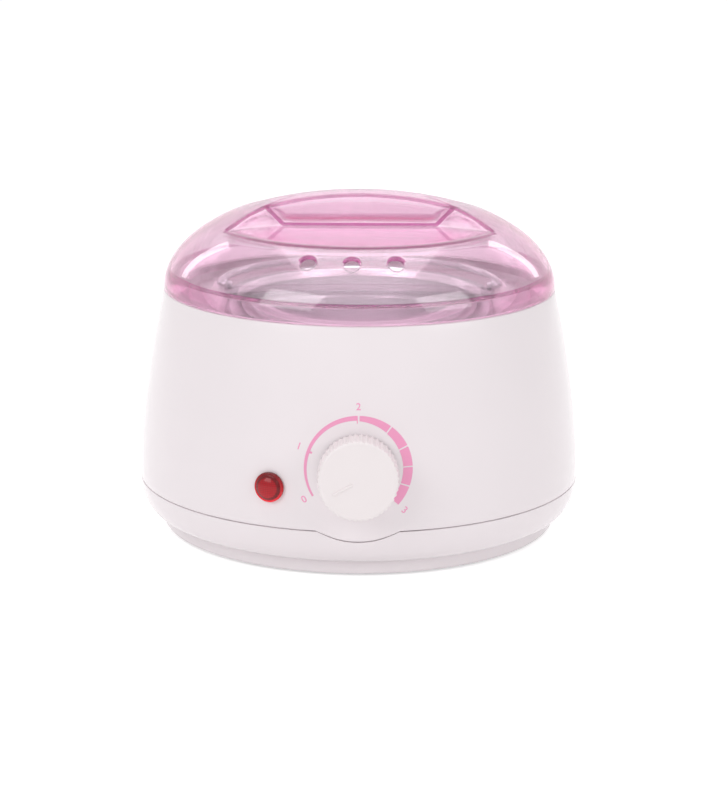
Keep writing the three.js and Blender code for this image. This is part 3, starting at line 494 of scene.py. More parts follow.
def vent_seats():
    """The seats of the three vents on the front of the dome, before it is put in its place."""
    lid, depth_share = settings().lid, settings().body.depth_share
    half_width = lid.half_width * math.sqrt(1 - (lid.vent_rise / lid.rise) ** 2)
    seats = []
    for i in (-1, 0, 1):
        side = lid.vent_shift + i * lid.vent_spacing
        y = -depth_share * math.sqrt(half_width ** 2 - side ** 2)
        out = Vector((side / lid.half_width ** 2, y / (depth_share * lid.half_width) ** 2,
                      lid.vent_rise / lid.rise ** 2)).normalized()
        seats.append(seat_on(Vector((side, y, lid.bottom + lid.vent_rise)), out))
    return seats


# Materials: each is named for what the real one is made of

class Term:
    """One output of a node. The formulas of a material are written with such terms."""

    def __init__(self, material, socket):
        self.material, self.socket = material, socket

    def __getitem__(self, output):
        return Term(self.material, self.socket.node.outputs[output])

    def calculated(self, operation, other=0.0):
        return add_node(self.material, "Math", {0: self, 1: other}, operation=operation)

    def __add__(self, other):
        return self.calculated("ADD", other)

    def __sub__(self, other):
        return self.calculated("SUBTRACT", other)

    def __rsub__(self, other):
        return add_node(self.material, "Math", {0: other, 1: self}, operation="SUBTRACT")

    def __mul__(self, other):
        return self.calculated("MULTIPLY", other)

    def __truediv__(self, other):
        return self.calculated("DIVIDE", other)

    def __pow__(self, other):
        return self.calculated("POWER", other)

    def __abs__(self):
        return self.calculated("ABSOLUTE")

    def __lt__(self, other):
        return self.calculated("LESS_THAN", other)

    def __gt__(self, other):
        return self.calculated("GREATER_THAN", other)

    def highest(self, other):
        return self.calculated("MAXIMUM", other)

    def root(self):
        return self.calculated("SQRT")


def emptied(owner):
    """A material or world with no nodes yet."""
    owner.use_nodes = True
    owner.node_tree.nodes.clear()
    return owner


def new_material(name):
    return emptied(bpy.data.materials.new(name))


def add_node(material, kind, sockets=(), **options):
    """Adds a node, sets its options, gives its sockets values, colours or links, and returns its
    first output."""
    tree = material.node_tree
    made = tree.nodes.new("ShaderNode" + kind)
    for key, value in options.items():
        setattr(made, key, value)
    for key, value in dict(sockets).items():
        socket = made.inputs[key]
        if isinstance(value, Term):
            tree.links.new(value.socket, socket)
        else:
            socket.default_value = [*value[:3], 1] if socket.type == "RGBA" else value
    return Term(material, made.outputs[0]) if made.outputs else None


def surface(material, sockets, colours=(), roughness=(), relief=(), **volume):
    """The material's Principled shader and its output. Colours are a factor and the two colours that
    it runs between, roughness is a pattern and its two ends, and relief is a height, the millimetres
    that it runs over and its strength."""
    sockets = dict(sockets)
    if colours:
        factor, low, high = colours
        sockets["Base Color"] = add_node(
            material, "Mix", {0: factor, 6: low, 7: high}, data_type="RGBA")[2]
    if roughness:
        pattern, low, high = roughness
        sockets["Roughness"] = add_node(
            material, "MapRange", {"Value": pattern, "To Min": low, "To Max": high})
    if relief:
        height, depth_mm, strength = relief
        sockets["Normal"] = add_node(material, "Bump", {
            "Height": height, "Distance": depth_mm * MM, "Strength": strength})
    shader = add_node(material, "BsdfPrincipled", sockets)
    add_node(material, "OutputMaterial", {"Surface": shader, **volume})
    return material


def position(material, seat=None):
    """Object coordinates in metres, or the same in the frame of a seat, with Z along its axis."""
    coordinates = add_node(material, "TexCoord")["Object"]
    if seat is None:
        return coordinates
    inverse = seat.inverted()
    return add_node(material, "Mapping", {
        "Vector": coordinates,
        "Location": inverse.to_translation(),
        "Rotation": inverse.to_euler(),
    })


def round_axis(vector):
    """The separate coordinates, the vector without Z, and the distance from the Z axis."""
    material = vector.material
    apart = add_node(material, "SeparateXYZ", {"Vector": vector})
    flat = add_node(material, "CombineXYZ", {"X": apart["X"], "Y": apart["Y"]})
    off_axis = add_node(material, "VectorMath", {0: flat}, operation="LENGTH")["Value"]
    return apart, flat, off_axis


def scaled(tint, factor):
    return [min(1, value * factor) for value in tint]


def moulded_abs(name, tint, roughness, peel_mm):
    """Injection-moulded ABS: even colour, a soft mirror of the lamps, and a faint orange peel from
    the mould's polish."""
    material = new_material(name)
    where = position(material)
    clouds, haze, peel = (
        add_node(material, "TexNoise", {"Vector": where, "Scale": 1 / (size * MM), "Detail": detail})
        for size, detail in ((24, 1), (9, 3), (peel_mm, 2)))
    return surface(
        material, {"IOR": 1.52, "Specular IOR Level": 0.28},
        (clouds, scaled(tint, 0.985), scaled(tint, 1.012)),
        (haze, roughness - 0.03, roughness + 0.04), (peel, 0.012, 0.35))


def close_to(reach, *distances):
    """1 where the distances add up to less than the reach, but for a soft edge of 0.3 mm."""
    total = abs(distances[0])
    for distance in distances[1:]:
        total = total + abs(distance)
    return add_node(total.material, "MapRange", {
        "Value": total, "From Min": reach, "From Max": reach - 0.3 * MM}, interpolation_type="SMOOTHSTEP")


def painted_vent_shade(material):
    """Painted shade on the far side of the vents' walls."""
    lid = settings().lid
    painted_shade_mask = 0.0
    for seat in vent_seats():
        apart, _, off_axis = round_axis(position(material, at() @ seat))
        wall = close_to(lid.vent_radius + 0.85 * MM, off_axis)
        painted_shade_mask = (wall * (apart["Y"] > 0.6 * MM)).highest(painted_shade_mask)
    return painted_shade_mask


def painted_ledge_shade(z, side, radius):
    """Painted shade along the ledge inside the rim, most of all at its two ends."""
    lid = settings().lid
    to_end = add_node(side.material, "MapRange", {
        "Value": side, "From Min": 64 * MM, "From Max": 77 * MM, "To Min": 1.0, "To Max": 0.11})
    over_ledge = z - (lid.bottom + lid.band)
    painted_shade_mask = close_to(0.7 * MM, over_ledge * to_end).highest(0.22)
    return painted_shade_mask * (over_ledge < 0.7 * MM) * (radius < lid.half_width - 3 * MM)


def painted_pocket_shade(side, away, above, radius, z):
    """Painted shade along the grip's foot and ends, and the lines where the pockets meet the dome."""
    lid = settings().lid
    half_length, half_thickness = lid.grip_half_length, lid.grip_half_thickness
    foot = close_to(1.3 * MM, away - half_thickness, above - 0.4 * MM) * (
        side < half_length + 0.6 * MM)
    lean = half_thickness - above * lid.grip_lean
    flare = above * lid.wing_flare + half_length
    corner = close_to(1.5 * MM, away - lean, side - flare)
    turn = math.tan(lid.wing_angle)
    end = ((side - half_length) * turn - (away - half_thickness)) * (
        1 / (lid.grip_lean + lid.wing_flare * turn))
    dome = (1.0 - (radius / lid.half_width) ** 2.0).root() * lid.rise + lid.bottom
    rim = close_to(1.6 * MM, z - dome, above - end)
    brim = close_to(0.9 * MM, z - dome, above) * (end < 0.0)
    return foot.highest(brim).highest(rim.highest(corner) * (above > 0.0))


def clear_lid():
    """Polished clear polystyrene, tinted pink through its thickness: pale where it is thin, deeper where
    light crosses more of it. Its deep magenta along edges, creases and vents is painted shade. Fine
    handling marks blur its mirror a little."""
    material = new_material("Pink clear polystyrene")
    finish, lid = settings().finish, settings().lid
    # What the wall lets through, as the share that it absorbs in each colour over its thickness
    taken = [-math.log(max(value, 0.01)) for value in finish.lid_tint]
    density = max(taken) * 1.25 / lid.wall
    volume = add_node(material, "VolumeAbsorption", {
        "Color": [1 - value / lid.wall / density for value in taken], "Density": density})
    marks = add_node(material, "TexNoise", {
        "Vector": position(material), "Scale": 1 / (6 * MM), "Detail": 4})
    apart = add_node(material, "SeparateXYZ", {"Vector": position(material, at())})
    x, y, z = apart["X"], apart["Y"], apart["Z"]
    side, away = abs(x), abs(y)
    upright = y / settings().body.depth_share
    radius = (x * x + upright * upright).root()
    above = z - (lid.bottom + lid.rise - lid.pocket_depth)
    # Painted shade: a mask of the vents, the ledge and the pockets' edges, where the lid's colour turns
    # deep magenta
    edges = painted_vent_shade(material).highest(painted_ledge_shade(z, side, radius)).highest(
        painted_pocket_shade(side, away, above, radius, z))
    return surface(material, {
        "Transmission Weight": 1.0,
        "IOR": 1.32,
        "Alpha": 0.76,
        "Coat Weight": 1.0,
        "Coat IOR": 1.6,
        "Coat Roughness": 0.02,
    }, (edges, (1, 1, 1), finish.lid_edge_painted_shade), (marks, 0.015, 0.05), Volume=volume)


def red_lens():
    """Red polystyrene lens with a pyramid grid moulded on its inside, which shows under the smooth
    dome as small dots with painted shade between them. Round the dome a darker ring is painted shade, and
    the dome and the rim carry painted light below and painted shade above."""
    material = new_material("Red lens polystyrene")
    radius, tint = settings().control.lens_radius, settings().finish.lens
    apart, flat, off_axis = round_axis(position(material, lens_seat()))
    # Painted light and shade: each zone of the lens runs with this from its bottom shade to its top shade
    climb = add_node(material, "MapRange", {
        "Value": apart["Y"], "From Min": -radius, "From Max": radius})
    # Dots 0.75 mm apart, as the pyramids of such a lens
    dots = add_node(material, "TexVoronoi", {
        "Vector": flat, "Scale": 1 / (0.75 * MM), "Randomness": 0.0}, feature="F1")
    # Painted shade between the dots
    between_dots = add_node(material, "MapRange", {"Value": dots, "To Min": 1.0, "To Max": 0.2})
    ring, rim = (
        add_node(material, "MapRange", {
            "Value": off_axis, "From Min": (start - 0.25) * MM, "From Max": (start + 0.25) * MM,
        }, interpolation_type="SMOOTHSTEP")
        for start in (4.0, 5.15))
    tone = scaled(tint, 0.2)
    # Dome, ring and rim: where each covers what is under it, and its painted light and shade at the
    # bottom and the top
    for cover, low, high in ((between_dots, 1.35, 0.75), (ring, 0.42, 0.3), (rim, 2.0, 0.3)):
        zone = add_node(material, "Mix", {
            0: climb, 6: scaled(tint, low), 7: scaled(tint, high)}, data_type="RGBA")[2]
        tone = add_node(material, "Mix", {0: cover, 6: tone, 7: zone}, data_type="RGBA")[2]
    return surface(
        material, {"Base Color": tone, "Specular IOR Level": 0.3, "IOR": 1.5},
        roughness=(dots, 0.1, 0.2))


def spun_aluminium(name, tint, roughness, ring_mm, depth_mm):
    """Aluminium sheet spun over a form: fine rings round the axis that the tool left, polished
    bright on the inside and the rim, rougher on the outside and underneath, where a darker copy of its
    colour is painted shade."""
    material = new_material(name)
    apart, flat, off_axis = round_axis(position(material, at()))
    along = add_node(material, "CombineXYZ", {"X": off_axis + apart["Z"]})
    rings = add_node(material, "TexNoise", {
        "Vector": along, "Scale": 1 / (ring_mm * MM), "Detail": 3, "Roughness": 0.6})
    outwards = add_node(material, "VectorMath", {0: flat}, operation="NORMALIZE")
    outwards = add_node(material, "VectorMath", {0: outwards, 1: (0, 0, -0.6)}, operation="ADD")
    facing = add_node(material, "VectorMath", {
        0: add_node(material, "TexCoord")["Normal"], 1: outwards}, operation="DOT_PRODUCT")["Value"]
    outside = facing > 0.0
    # The outside and underneath get a darker copy of the colour: painted shade
    polished, shaded_outside_tint = (
        add_node(material, "Mix", {
            0: rings, 6: scaled(tint, low), 7: scaled(tint, high)}, data_type="RGBA")[2]
        for low, high in ((0.94, 1), (0.5, 0.64)))
    fine = add_node(material, "MapRange", {
        "Value": rings, "To Min": roughness - 0.05, "To Max": roughness + 0.06})
    return surface(
        material, {"Metallic": 1.0, "Roughness": outside * 0.16 + fine},
        (outside, polished, shaded_outside_tint), relief=(rings, depth_mm, 1.0))


def plated_metal(name, tint, roughness, scratch_mm, depth_mm):
    """Plated or plain metal: bright with a fine uneven haze from drawing and handling."""
    material = new_material(name)
    where = position(material)
    clouds = add_node(material, "TexNoise", {"Vector": where, "Scale": 1 / (5 * MM)})
    marks = add_node(material, "TexNoise", {
        "Vector": where, "Scale": 1 / (scratch_mm * MM), "Detail": 4, "Roughness": 0.6})
    return surface(
        material, {"Metallic": 1.0}, (clouds, scaled(tint, 0.9), tint),
        (marks, roughness - 0.07, roughness + 0.1), (marks, depth_mm, 0.3))


def dull_solid(name, tint, roughness, grain_mm, depth_mm, contrast=0.08):
    """A dull material with a grain: unglazed ceramic, nylon, rubber or ink."""
    material = new_material(name)
    texture = add_node(material, "TexNoise", {
        "Vector": position(material), "Scale": 1 / (grain_mm * MM), "Detail": 4, "Roughness": 0.65})
    return surface(
        material, {}, (texture, scaled(tint, 1 - contrast), scaled(tint, 1 + contrast / 2)),
        (texture, roughness - 0.06, roughness + 0.06), (texture, depth_mm, 0.5))


def glass_wool():
    """A jacket of glass wool: matted fibres, drawn about 0.9 mm coarse so that they show, and long
    across the nap."""
    material = new_material("Glass wool")
    drawn = add_node(material, "Mapping", {"Vector": position(material), "Scale": (1, 1, 3.5)})
    fibres = add_node(material, "TexNoise", {
        "Vector": drawn, "Scale": 1 / (0.9 * MM), "Detail": 6, "Roughness": 0.75})
    return surface(
        material, {"Sheen Weight": 0.3}, (fibres, linear("#B9B196"), linear("#E4DEC6")),
        (fibres, 0.85, 1.0), (fibres, 0.6, 0.8))


def woven_sleeve():
    """Glass-fibre sleeve of a heat-proof lead, with a crossed braid 0.6 mm wide."""
    material = new_material("Woven glass sleeve")
    where = position(material)
    turned = add_node(material, "Mapping", {"Vector": where, "Rotation": (0, 0, math.pi / 2)})
    one, other = (
        add_node(material, "TexWave", {"Vector": vector, "Scale": 0.16 / (0.6 * MM)},
                 bands_direction="DIAGONAL")["Fac"]
        for vector in (where, turned))
    braid = one.highest(other)
    return surface(
        material, {}, (braid, linear("#8E8E92"), linear("#C6C6C9")), (braid, 0.75, 0.6),
        (braid, 0.15, 0.6))


def lamp_glass():
    """Clear glass of a neon lamp, with a warm cast from the electrodes behind it."""
    material = new_material("Neon lamp glass")
    smears = add_node(material, "TexNoise", {"Vector": position(material), "Scale": 1 / (2 * MM)})
    return surface(
        material, {"Transmission Weight": 0.8, "IOR": 1.5},
        (smears, linear("#E8CDB4"), linear("#F4E4D4")), (smears, 0.02, 0.08))


FINISHES = {}


def finish_of(slot):
    """The material for a slot of the record, made the first time that it is asked for."""
    tints = settings().finish
    makers = {
        "white_abs": (moulded_abs, "White ABS, polished mould", tints.shell, 0.2, 1.6),
        "knob_abs": (moulded_abs, "White ABS, satin mould", tints.knob, 0.36, 0.5),
        "pink_lid": (clear_lid,),
        "red_lens": (red_lens,),
        "lamp_glass": (lamp_glass,),
        "pot_aluminium": (spun_aluminium, "Polished spun aluminium", tints.aluminium, 0.26, 0.45, 0.1),
        "well_aluminium": (
            spun_aluminium, "Pressed aluminium", scaled(tints.aluminium, 0.9), 0.36, 1.4, 0.05),
        "handle_steel": (plated_metal, "Nickel-plated wire", linear("#CFCFD2"), 0.2, 0.5, 0.01),
        "zinc_steel": (plated_metal, "Zinc-plated steel", linear("#B4B6BA"), 0.36, 0.8, 0.02),
        "brass": (plated_metal, "Plain brass", linear("#C9A45A"), 0.3, 0.6, 0.01),
        "ceramic": (dull_solid, "Unglazed steatite", linear("#E6DCC8"), 0.6, 0.4, 0.02),
        "glass_wool": (glass_wool,),
        "lead_sleeve": (woven_sleeve,),
        "gland_nylon": (dull_solid, "Moulded nylon", linear("#E9E4E6"), 0.45, 0.5, 0.01, 0.03),
        "grey_rubber": (dull_solid, "Moulded rubber", tints.rubber, 0.8, 0.35, 0.03),
        "dial_ink": (dull_solid, "Screen-printed ink", tints.ink, 0.42, 0.3, 0.004, 0.04),
    }
    if slot not in FINISHES:
        maker, *values = makers[slot]
        FINISHES[slot] = maker(*values)
    return FINISHES[slot]


# The oval body

def body_profile():
    """Housing and base as one hollow body, from the middle of the floor round and back inside."""
    body = settings().body
    stand_inner = body.stand - body.stand_wall
    floor_top = body.floor + body.wall
    deck_bottom = body.deck - body.wall
    bowl = [body.half_width - body.bowl_end, body.seam - body.stand_top]
    outer_bowl = arc([body.bowl_end, body.seam], bowl, -90, 0, 14)
    inner_bowl = arc([body.bowl_end - body.wall, body.seam], [bowl[0], bowl[1] - body.wall], 0, -90, 8)
    steps = 26
    heights = [body.seam + (body.joint - body.seam - MM) * i / steps for i in range(1, steps + 1)]
    outer_side = [(wall_half_width(z), z) for z in heights]
    inner_side = [(wall_half_width(z) - body.wall, z) for z in reversed(heights) if z < deck_bottom - MM]
    top = wall_half_width(body.joint)
    edge = body.deck_opening * body.depth_share
    return [
        (0, body.floor),
        *rounded([
            (0, body.floor),
            (stand_inner, body.floor, 0.8 * MM),
            (stand_inner, body.stand_bottom, 0.6 * MM),
            (body.stand, body.stand_bottom, 0.9 * MM),
            (body.stand, body.stand_top, 0.5 * MM),
            (body.bowl_end + 0.01 * MM, body.stand_top),
        ])[1:-1],
        *outer_bowl,
        *outer_side[:-1],
        *rounded([
            outer_side[-1],
            (top, body.joint, 0.7 * MM),
            (top - body.wall, body.joint, 0.4 * MM),
            (top - body.wall, body.deck, 1.2 * MM),
            (edge, body.deck),
        ])[1:],
        (edge, deck_bottom),
        (wall_half_width(deck_bottom) - body.wall, deck_bottom),
        *inner_side,
        *inner_bowl,
        (stand_inner, floor_top),
        (0, floor_top),
    ]


def lobe_outline(grow):
    """The dip under the knob with the slab above it, in X and Z: a Bezier curve and its mirror."""
    body = settings().body
    half, drop = body.lobe_half_width + grow, body.lobe_drop + grow
    ends = [(half, 0), (half * 0.75, -drop * 0.42), (half * 0.45, -drop), (0, -drop)]
    right = [(half, body.seam + 5 * MM)]
    for i in range(13):
        t = i / 12
        weights = [(1 - t) ** 3, 3 * t * (1 - t) ** 2, 3 * t * t * (1 - t), t ** 3]
        x, z = (sum(w * end[axis] for w, end in zip(weights, ends)) for axis in (0, 1))
        right.append((x, body.seam + z))
    return right + [(-x, z) for x, z in reversed(right[:-1])]


def above_seam(grow):
    """What lies above the seam line, grown downwards for the base."""
    body = settings().body
    width, height = 0.3, 0.15
    slab = block("slab", (width, width, height), (0, 0, body.seam - grow + height / 2))
    front = -body.half_width * body.depth_share - 3 * MM
    lobe = extruded("lobe", lobe_outline(grow), front, -body.bowl_end * body.depth_share / 2)
    return combine(slab, lobe, "UNION")


def corner_places(inset, turn):
    """One place in each quarter of an oval inside the wall at the stand."""
    body = settings().body
    reach = body.bowl_end - body.wall - inset
    x, y = reach * math.cos(turn), body.depth_share * reach * math.sin(turn)
    return [(-x, -y), (x, -y), (x, y), (-x, y)]


def post_places():
    return corner_places(settings().body.post_inset, settings().body.post_turn)


def foot_places():
    return corner_places(settings().body.foot_inset, settings().body.foot_turn)


def boss_places():
    reach = settings().pot.well_radius + settings().body.boss_gap
    turns = [math.pi / 6 + i * 2 * math.pi / 3 for i in range(3)]
    return [(reach * math.cos(turn), reach * math.sin(turn)) for turn in turns]


def stood(*pieces_and_places):
    """Copies of rods at several places, as one cutting or joining tool."""
    made = []
    for piece, places in pieces_and_places:
        for i, (x, y) in enumerate(places):
            made.append(copied(piece, f"{piece.name}_{i}", Matrix.Translation((x, y, 0))))
        bpy.data.objects.remove(piece)
    return joined(made)


class MakeHousing(bpy.types.Operator):
    """Models the white upper housing with its deck, posts, lobe and openings"""
    bl_idname = "wax_heater.make_housing"
    bl_label = "Make the housing"

    def execute(self, context):
        body, control = settings().body, settings().control
        deck_bottom, deck_middle = body.deck - body.wall, body.deck - body.wall / 2
        floor_top, boss_end = body.floor + body.wall, body.deck - body.boss_length
        piece = revolve("housing_shell", body_profile(), 224, body.depth_share)
        combine(piece, above_seam(0), "INTERSECT")
        bevel(piece, body.seam_round, 2, 60)
        for seat, radius in (
                (knob_seat(), control.bush_hole),
                (lens_seat(), control.lens_stem + body.clearance),
                (gland_seat(), control.gland_radius + body.clearance)):
            hole = rod("wall_hole", radius, -2 * body.wall, PAST, 48)
            combine(piece, place(hole, at().inverted() @ seat))
        post = rod("post", body.post_radius, floor_top + body.clearance, deck_middle)
        boss = rod("boss", body.boss_radius, boss_end, deck_middle)
        combine(piece, stood((post, post_places()), (boss, boss_places())), "UNION")
        combine(piece, rod("opening", body.deck_opening, deck_bottom - PAST, body.deck + PAST, 160))
        post_bore = rod("post_bore", body.screw_bore, body.floor, body.floor + body.screw_depth)
        boss_bore = rod("boss_bore", body.screw_bore, boss_end - PAST, deck_bottom)
        combine(piece, stood((post_bore, post_places()), (boss_bore, boss_places())))
        hand_over(place(piece, at()), "housing", "white_abs", "housing")
        return {"FINISHED"}


class MakeBase(bpy.types.Operator):
    """Models the white base with its bowl, stand ring and floor"""
    bl_idname = "wax_heater.make_base"
    bl_label = "Make the base"

    def execute(self, context):
        body = settings().body
        start, end = body.floor - PAST, body.floor + body.wall + PAST
        piece = revolve("base_shell", body_profile(), 224, body.depth_share)
        combine(piece, above_seam(body.seam_gap))
        bevel(piece, body.seam_round, 2, 60)
        combine(piece, stood(
            (rod("screw_hole", body.screw_bore, start, end), post_places()),
            (rod("peg_hole", body.peg_hole, start, end), foot_places())))
        hand_over(place(piece, at()), "housing", "white_abs", "base")
        return {"FINISHED"}


class MakeFeet(bpy.types.Operator):
    """Models a rubber foot with its peg and copies it to its four places"""
    bl_idname = "wax_heater.make_feet"
    bl_label = "Make the feet"

    def execute(self, context):
        body = settings().body
        seat = body.floor - body.clearance
        over_floor = body.floor + body.wall + body.clearance
        radius, peg = body.foot_radius, body.peg_hole - body.clearance
        hollow, barb = 0.35 * MM, 1.6 * MM
        foot = revolve("foot_pattern", rounded([
            (0, hollow),
            (radius * 0.55, hollow, 0.3 * MM),
            (radius * 0.6, 0, 0.3 * MM),
            (radius, 0, 0.9 * MM),
            (radius, seat, 0.3 * MM),
            (peg, seat),
            (peg, over_floor),
            (body.peg_hole, over_floor, 0.2 * MM),
            (peg, over_floor + barb, 0.4 * MM),
            (0, over_floor + barb),
        ]), 64)
        for i, (x, y) in enumerate(foot_places()):
            pad = copied(foot, f"foot_pad_{i + 1}", at(x, y))
            hand_over(pad, "housing", "grey_rubber", f"foot_{i + 1}")
        bpy.data.objects.remove(foot)
        return {"FINISHED"}


class MakeScrews(bpy.types.Operator):
    """Models a pan-head screw with a cross slot and copies it to the base's four posts"""
    bl_idname = "wax_heater.make_screws"
    bl_label = "Make the base screws"

    def execute(self, context):
        body = settings().body
        head, shank = body.screw_head, body.screw_bore - body.clearance
        head_height, length_to_tip, slot_width = 1.6 * MM, 16.5 * MM, 0.7 * MM
        screw = revolve("screw_pattern", rounded([
            (0, -head_height),
            (head * 0.82, -head_height, 0.5 * MM),
            (head, -0.9 * MM, 0.4 * MM),
            (head, 0, 0.15 * MM),
            (shank, 0),
            (shank, length_to_tip - shank),
            (0, length_to_tip),
        ]), 48)
        for turn in (0, math.pi / 2):
            slot = block("slot", (head * 1.15, slot_width, head_height), (0, 0, -head_height))
            combine(screw, place(slot, Matrix.Rotation(turn, 4, "Z")))
        for i, (x, y) in enumerate(post_places()):
            made = copied(screw, f"base_screw_head_{i + 1}", at(x, y, body.floor - body.clearance))
            hand_over(made, "housing", "zinc_steel", f"base_screw_{i + 1}")
        bpy.data.objects.remove(screw)
        return {"FINISHED"}


# The clear lid

def soft_min(a, b, blend):
    overlap = max(blend - abs(a - b), 0) / blend
    return min(a, b) - overlap * overlap * blend / 4


def dome_height(x, y, thickness):
    lid = settings().lid
    half_width, rise = lid.half_width - thickness, lid.rise - thickness
    inside = 1 - (x / half_width) ** 2 - (y / (half_width * settings().body.depth_share)) ** 2
    return lid.bottom + rise * math.sqrt(max(inside, 0))


def lid_height(x, y, thickness):
    """How high the lid's outer surface stands, or its inner one for the wall's thickness: the dome,
    cut down by the nearer pocket with its floor, the leaning wall of the grip and the flaring ends."""
    lid = settings().lid
    floor = lid.bottom + lid.rise - lid.pocket_depth - thickness
    behind_wall = lid.grip_half_thickness - abs(y) - thickness
    grip_wall = floor + behind_wall / lid.grip_lean
    # A pocket's end turns by the wing angle about the foot of the grip's end, and leans outwards
    turn = math.tan(lid.wing_angle)
    end = floor + (behind_wall + (abs(x) - lid.grip_half_length) * turn) / (
        lid.grip_lean + lid.wing_flare * turn)
    blend = lid.edge * (lid.inner_softness if thickness else lid.outer_softness)
    pocket = -soft_min(-floor, -max(grip_wall, end), blend)
    # The steeper the pocket's side, the wider the blend in height for an edge of one softness
    steep = min(max(pocket - floor, 0) / (3 * MM), 1)
    return soft_min(dome_height(x, y, thickness), pocket, lid.edge * (1 + 1.2 * steep))


def lid_profile():
    """Dome, rim and skirt, from the crown down the outside and back up the inside."""
    lid = settings().lid
    inner_half = lid.half_width - lid.wall
    inner_rise = lid.rise - lid.wall
    skirt_inner = lid.skirt - lid.skirt_wall
    band_top = lid.bottom + lid.band
    dome = arc([0, lid.bottom], [lid.half_width, lid.rise], 90, 0.6, 60)
    inside = arc([0, lid.bottom], [inner_half, inner_rise], 0, 90, 52)
    inside = [point for point in inside if point[1] > band_top + 0.6 * MM]
    ledge = inner_half * math.sqrt(1 - (lid.band / inner_rise) ** 2)
    return [
        *dome,
        *rounded([
            dome[-1],
            (lid.half_width, lid.bottom, 0.35 * MM),
            (lid.skirt, lid.bottom, 0.2 * MM),
            (lid.skirt, lid.bottom - lid.skirt_drop, 0.5 * MM),
            (skirt_inner, lid.bottom - lid.skirt_drop, 0.5 * MM),
            (skirt_inner - 0.5 * MM, band_top - 1.5 * MM, 1.2 * MM),
            (ledge, band_top, 0.5 * MM),
            inside[0],
        ])[1:-1],
        *inside,
    ]


def lid_layer(x, y, z):
    """0 on the lid's outer surface and the wall's thickness on its inner one."""
    wall = settings().lid.wall
    return wall if abs(z - dome_height(x, y, wall)) < abs(z - dome_height(x, y, 0)) else 0


def shape_pockets(piece):
    """Makes the grid finer where the pockets' edges bend it, and lowers the surfaces to the pockets.
    The soft edges follow one formula, so the lowering is done vertex by vertex."""
    lid = settings().lid
    lowest = lid.bottom + lid.rise * 0.45

    def bends(reach, limit, centre):
        x, y, z = centre
        if z < lowest:
            return False
        wall = lid_layer(x, y, z)
        level = 2 * lid_height(x, y, wall)
        along = lid_height(x - reach, y, wall) + lid_height(x + reach, y, wall)
        across = lid_height(x, y - reach, wall) + lid_height(x, y + reach, wall)
        return max(abs(along - level), abs(across - level)) > limit

    activate(piece)
    to_mode("EDIT")
    for reach, limit in ((1.4 * MM, 0.25 * MM), (0.7 * MM, 0.12 * MM)):
        pick(piece, "FACE", lambda centre, normal: bends(reach, limit, centre))
        bpy.ops.mesh.subdivide(number_cuts=1)
    to_mode("OBJECT")
    for vertex in piece.data.vertices:
        x, y, z = vertex.co
        if z > lowest:
            vertex.co.z = min(z, lid_height(x, y, lid_layer(x, y, z)))


class MakeLid(bpy.types.Operator):
    """Models the clear lid: dome, rim with its skirt, two finger pockets and three vents"""
    bl_idname = "wax_heater.make_lid"
    bl_label = "Make the lid"

    def execute(self, context):
        radius, chamfer, reach = settings().lid.vent_radius, 0.45 * MM, 7 * MM
        piece = revolve("lid_dome", lid_profile(), 180, settings().body.depth_share)
        shape_pockets(piece)
        for seat in vent_seats():
            drill = revolve("drill", [
                (0, -reach), (radius, -reach), (radius, -chamfer), (radius + chamfer, 0),
                (radius + chamfer, PAST), (0, PAST)], 48)
            combine(piece, place(drill, seat))
        hand_over(place(piece, at()), "lid", "pink_lid", "lid", smooth=40)
        return {"FINISHED"}


# Pot, handle, ears and well

class MakePot(bpy.types.Operator):
    """Models the spun pot with its rolled rim"""
    bl_idname = "wax_heater.make_pot"
    bl_label = "Make the pot"

    def execute(self, context):
        pot = settings().pot
        outer = pot.rim_radius - pot.rim_width
        lower = outer - pot.taper
        bottom = pot.rim_top - pot.depth
        rim_bottom = pot.rim_top - pot.rim_thickness
        # Not quite half of the rim, so that the two arcs leave a short flat between them
        roll = pot.rim_thickness / 2 * 0.98
        piece = revolve("pot_spun", rounded([
            (0, bottom + pot.floor_lift),
            (lower * 0.6, bottom + pot.floor_lift, 3 * MM),
            (lower * 0.66, bottom, 3 * MM),
            (lower, bottom, pot.fillet),
            (outer, rim_bottom, 1 * MM),
            (pot.rim_radius, rim_bottom, roll),
            (pot.rim_radius, pot.rim_top, roll),
            (outer - 0.2 * MM, pot.rim_top, 1.4 * MM),
            (outer - pot.wall, rim_bottom - 1 * MM, 2 * MM),
            (lower - pot.wall, bottom + pot.wall, pot.fillet - pot.wall),
            (lower * 0.64, bottom + pot.wall, 3 * MM),
            (lower * 0.58, bottom + pot.wall + pot.floor_lift, 3 * MM),
            (0, bottom + pot.wall + pot.floor_lift),
        ], 8), 192)
        hand_over(place(piece, at()), "pot", "pot_aluminium", "pot", smooth=50)
        return {"FINISHED"}


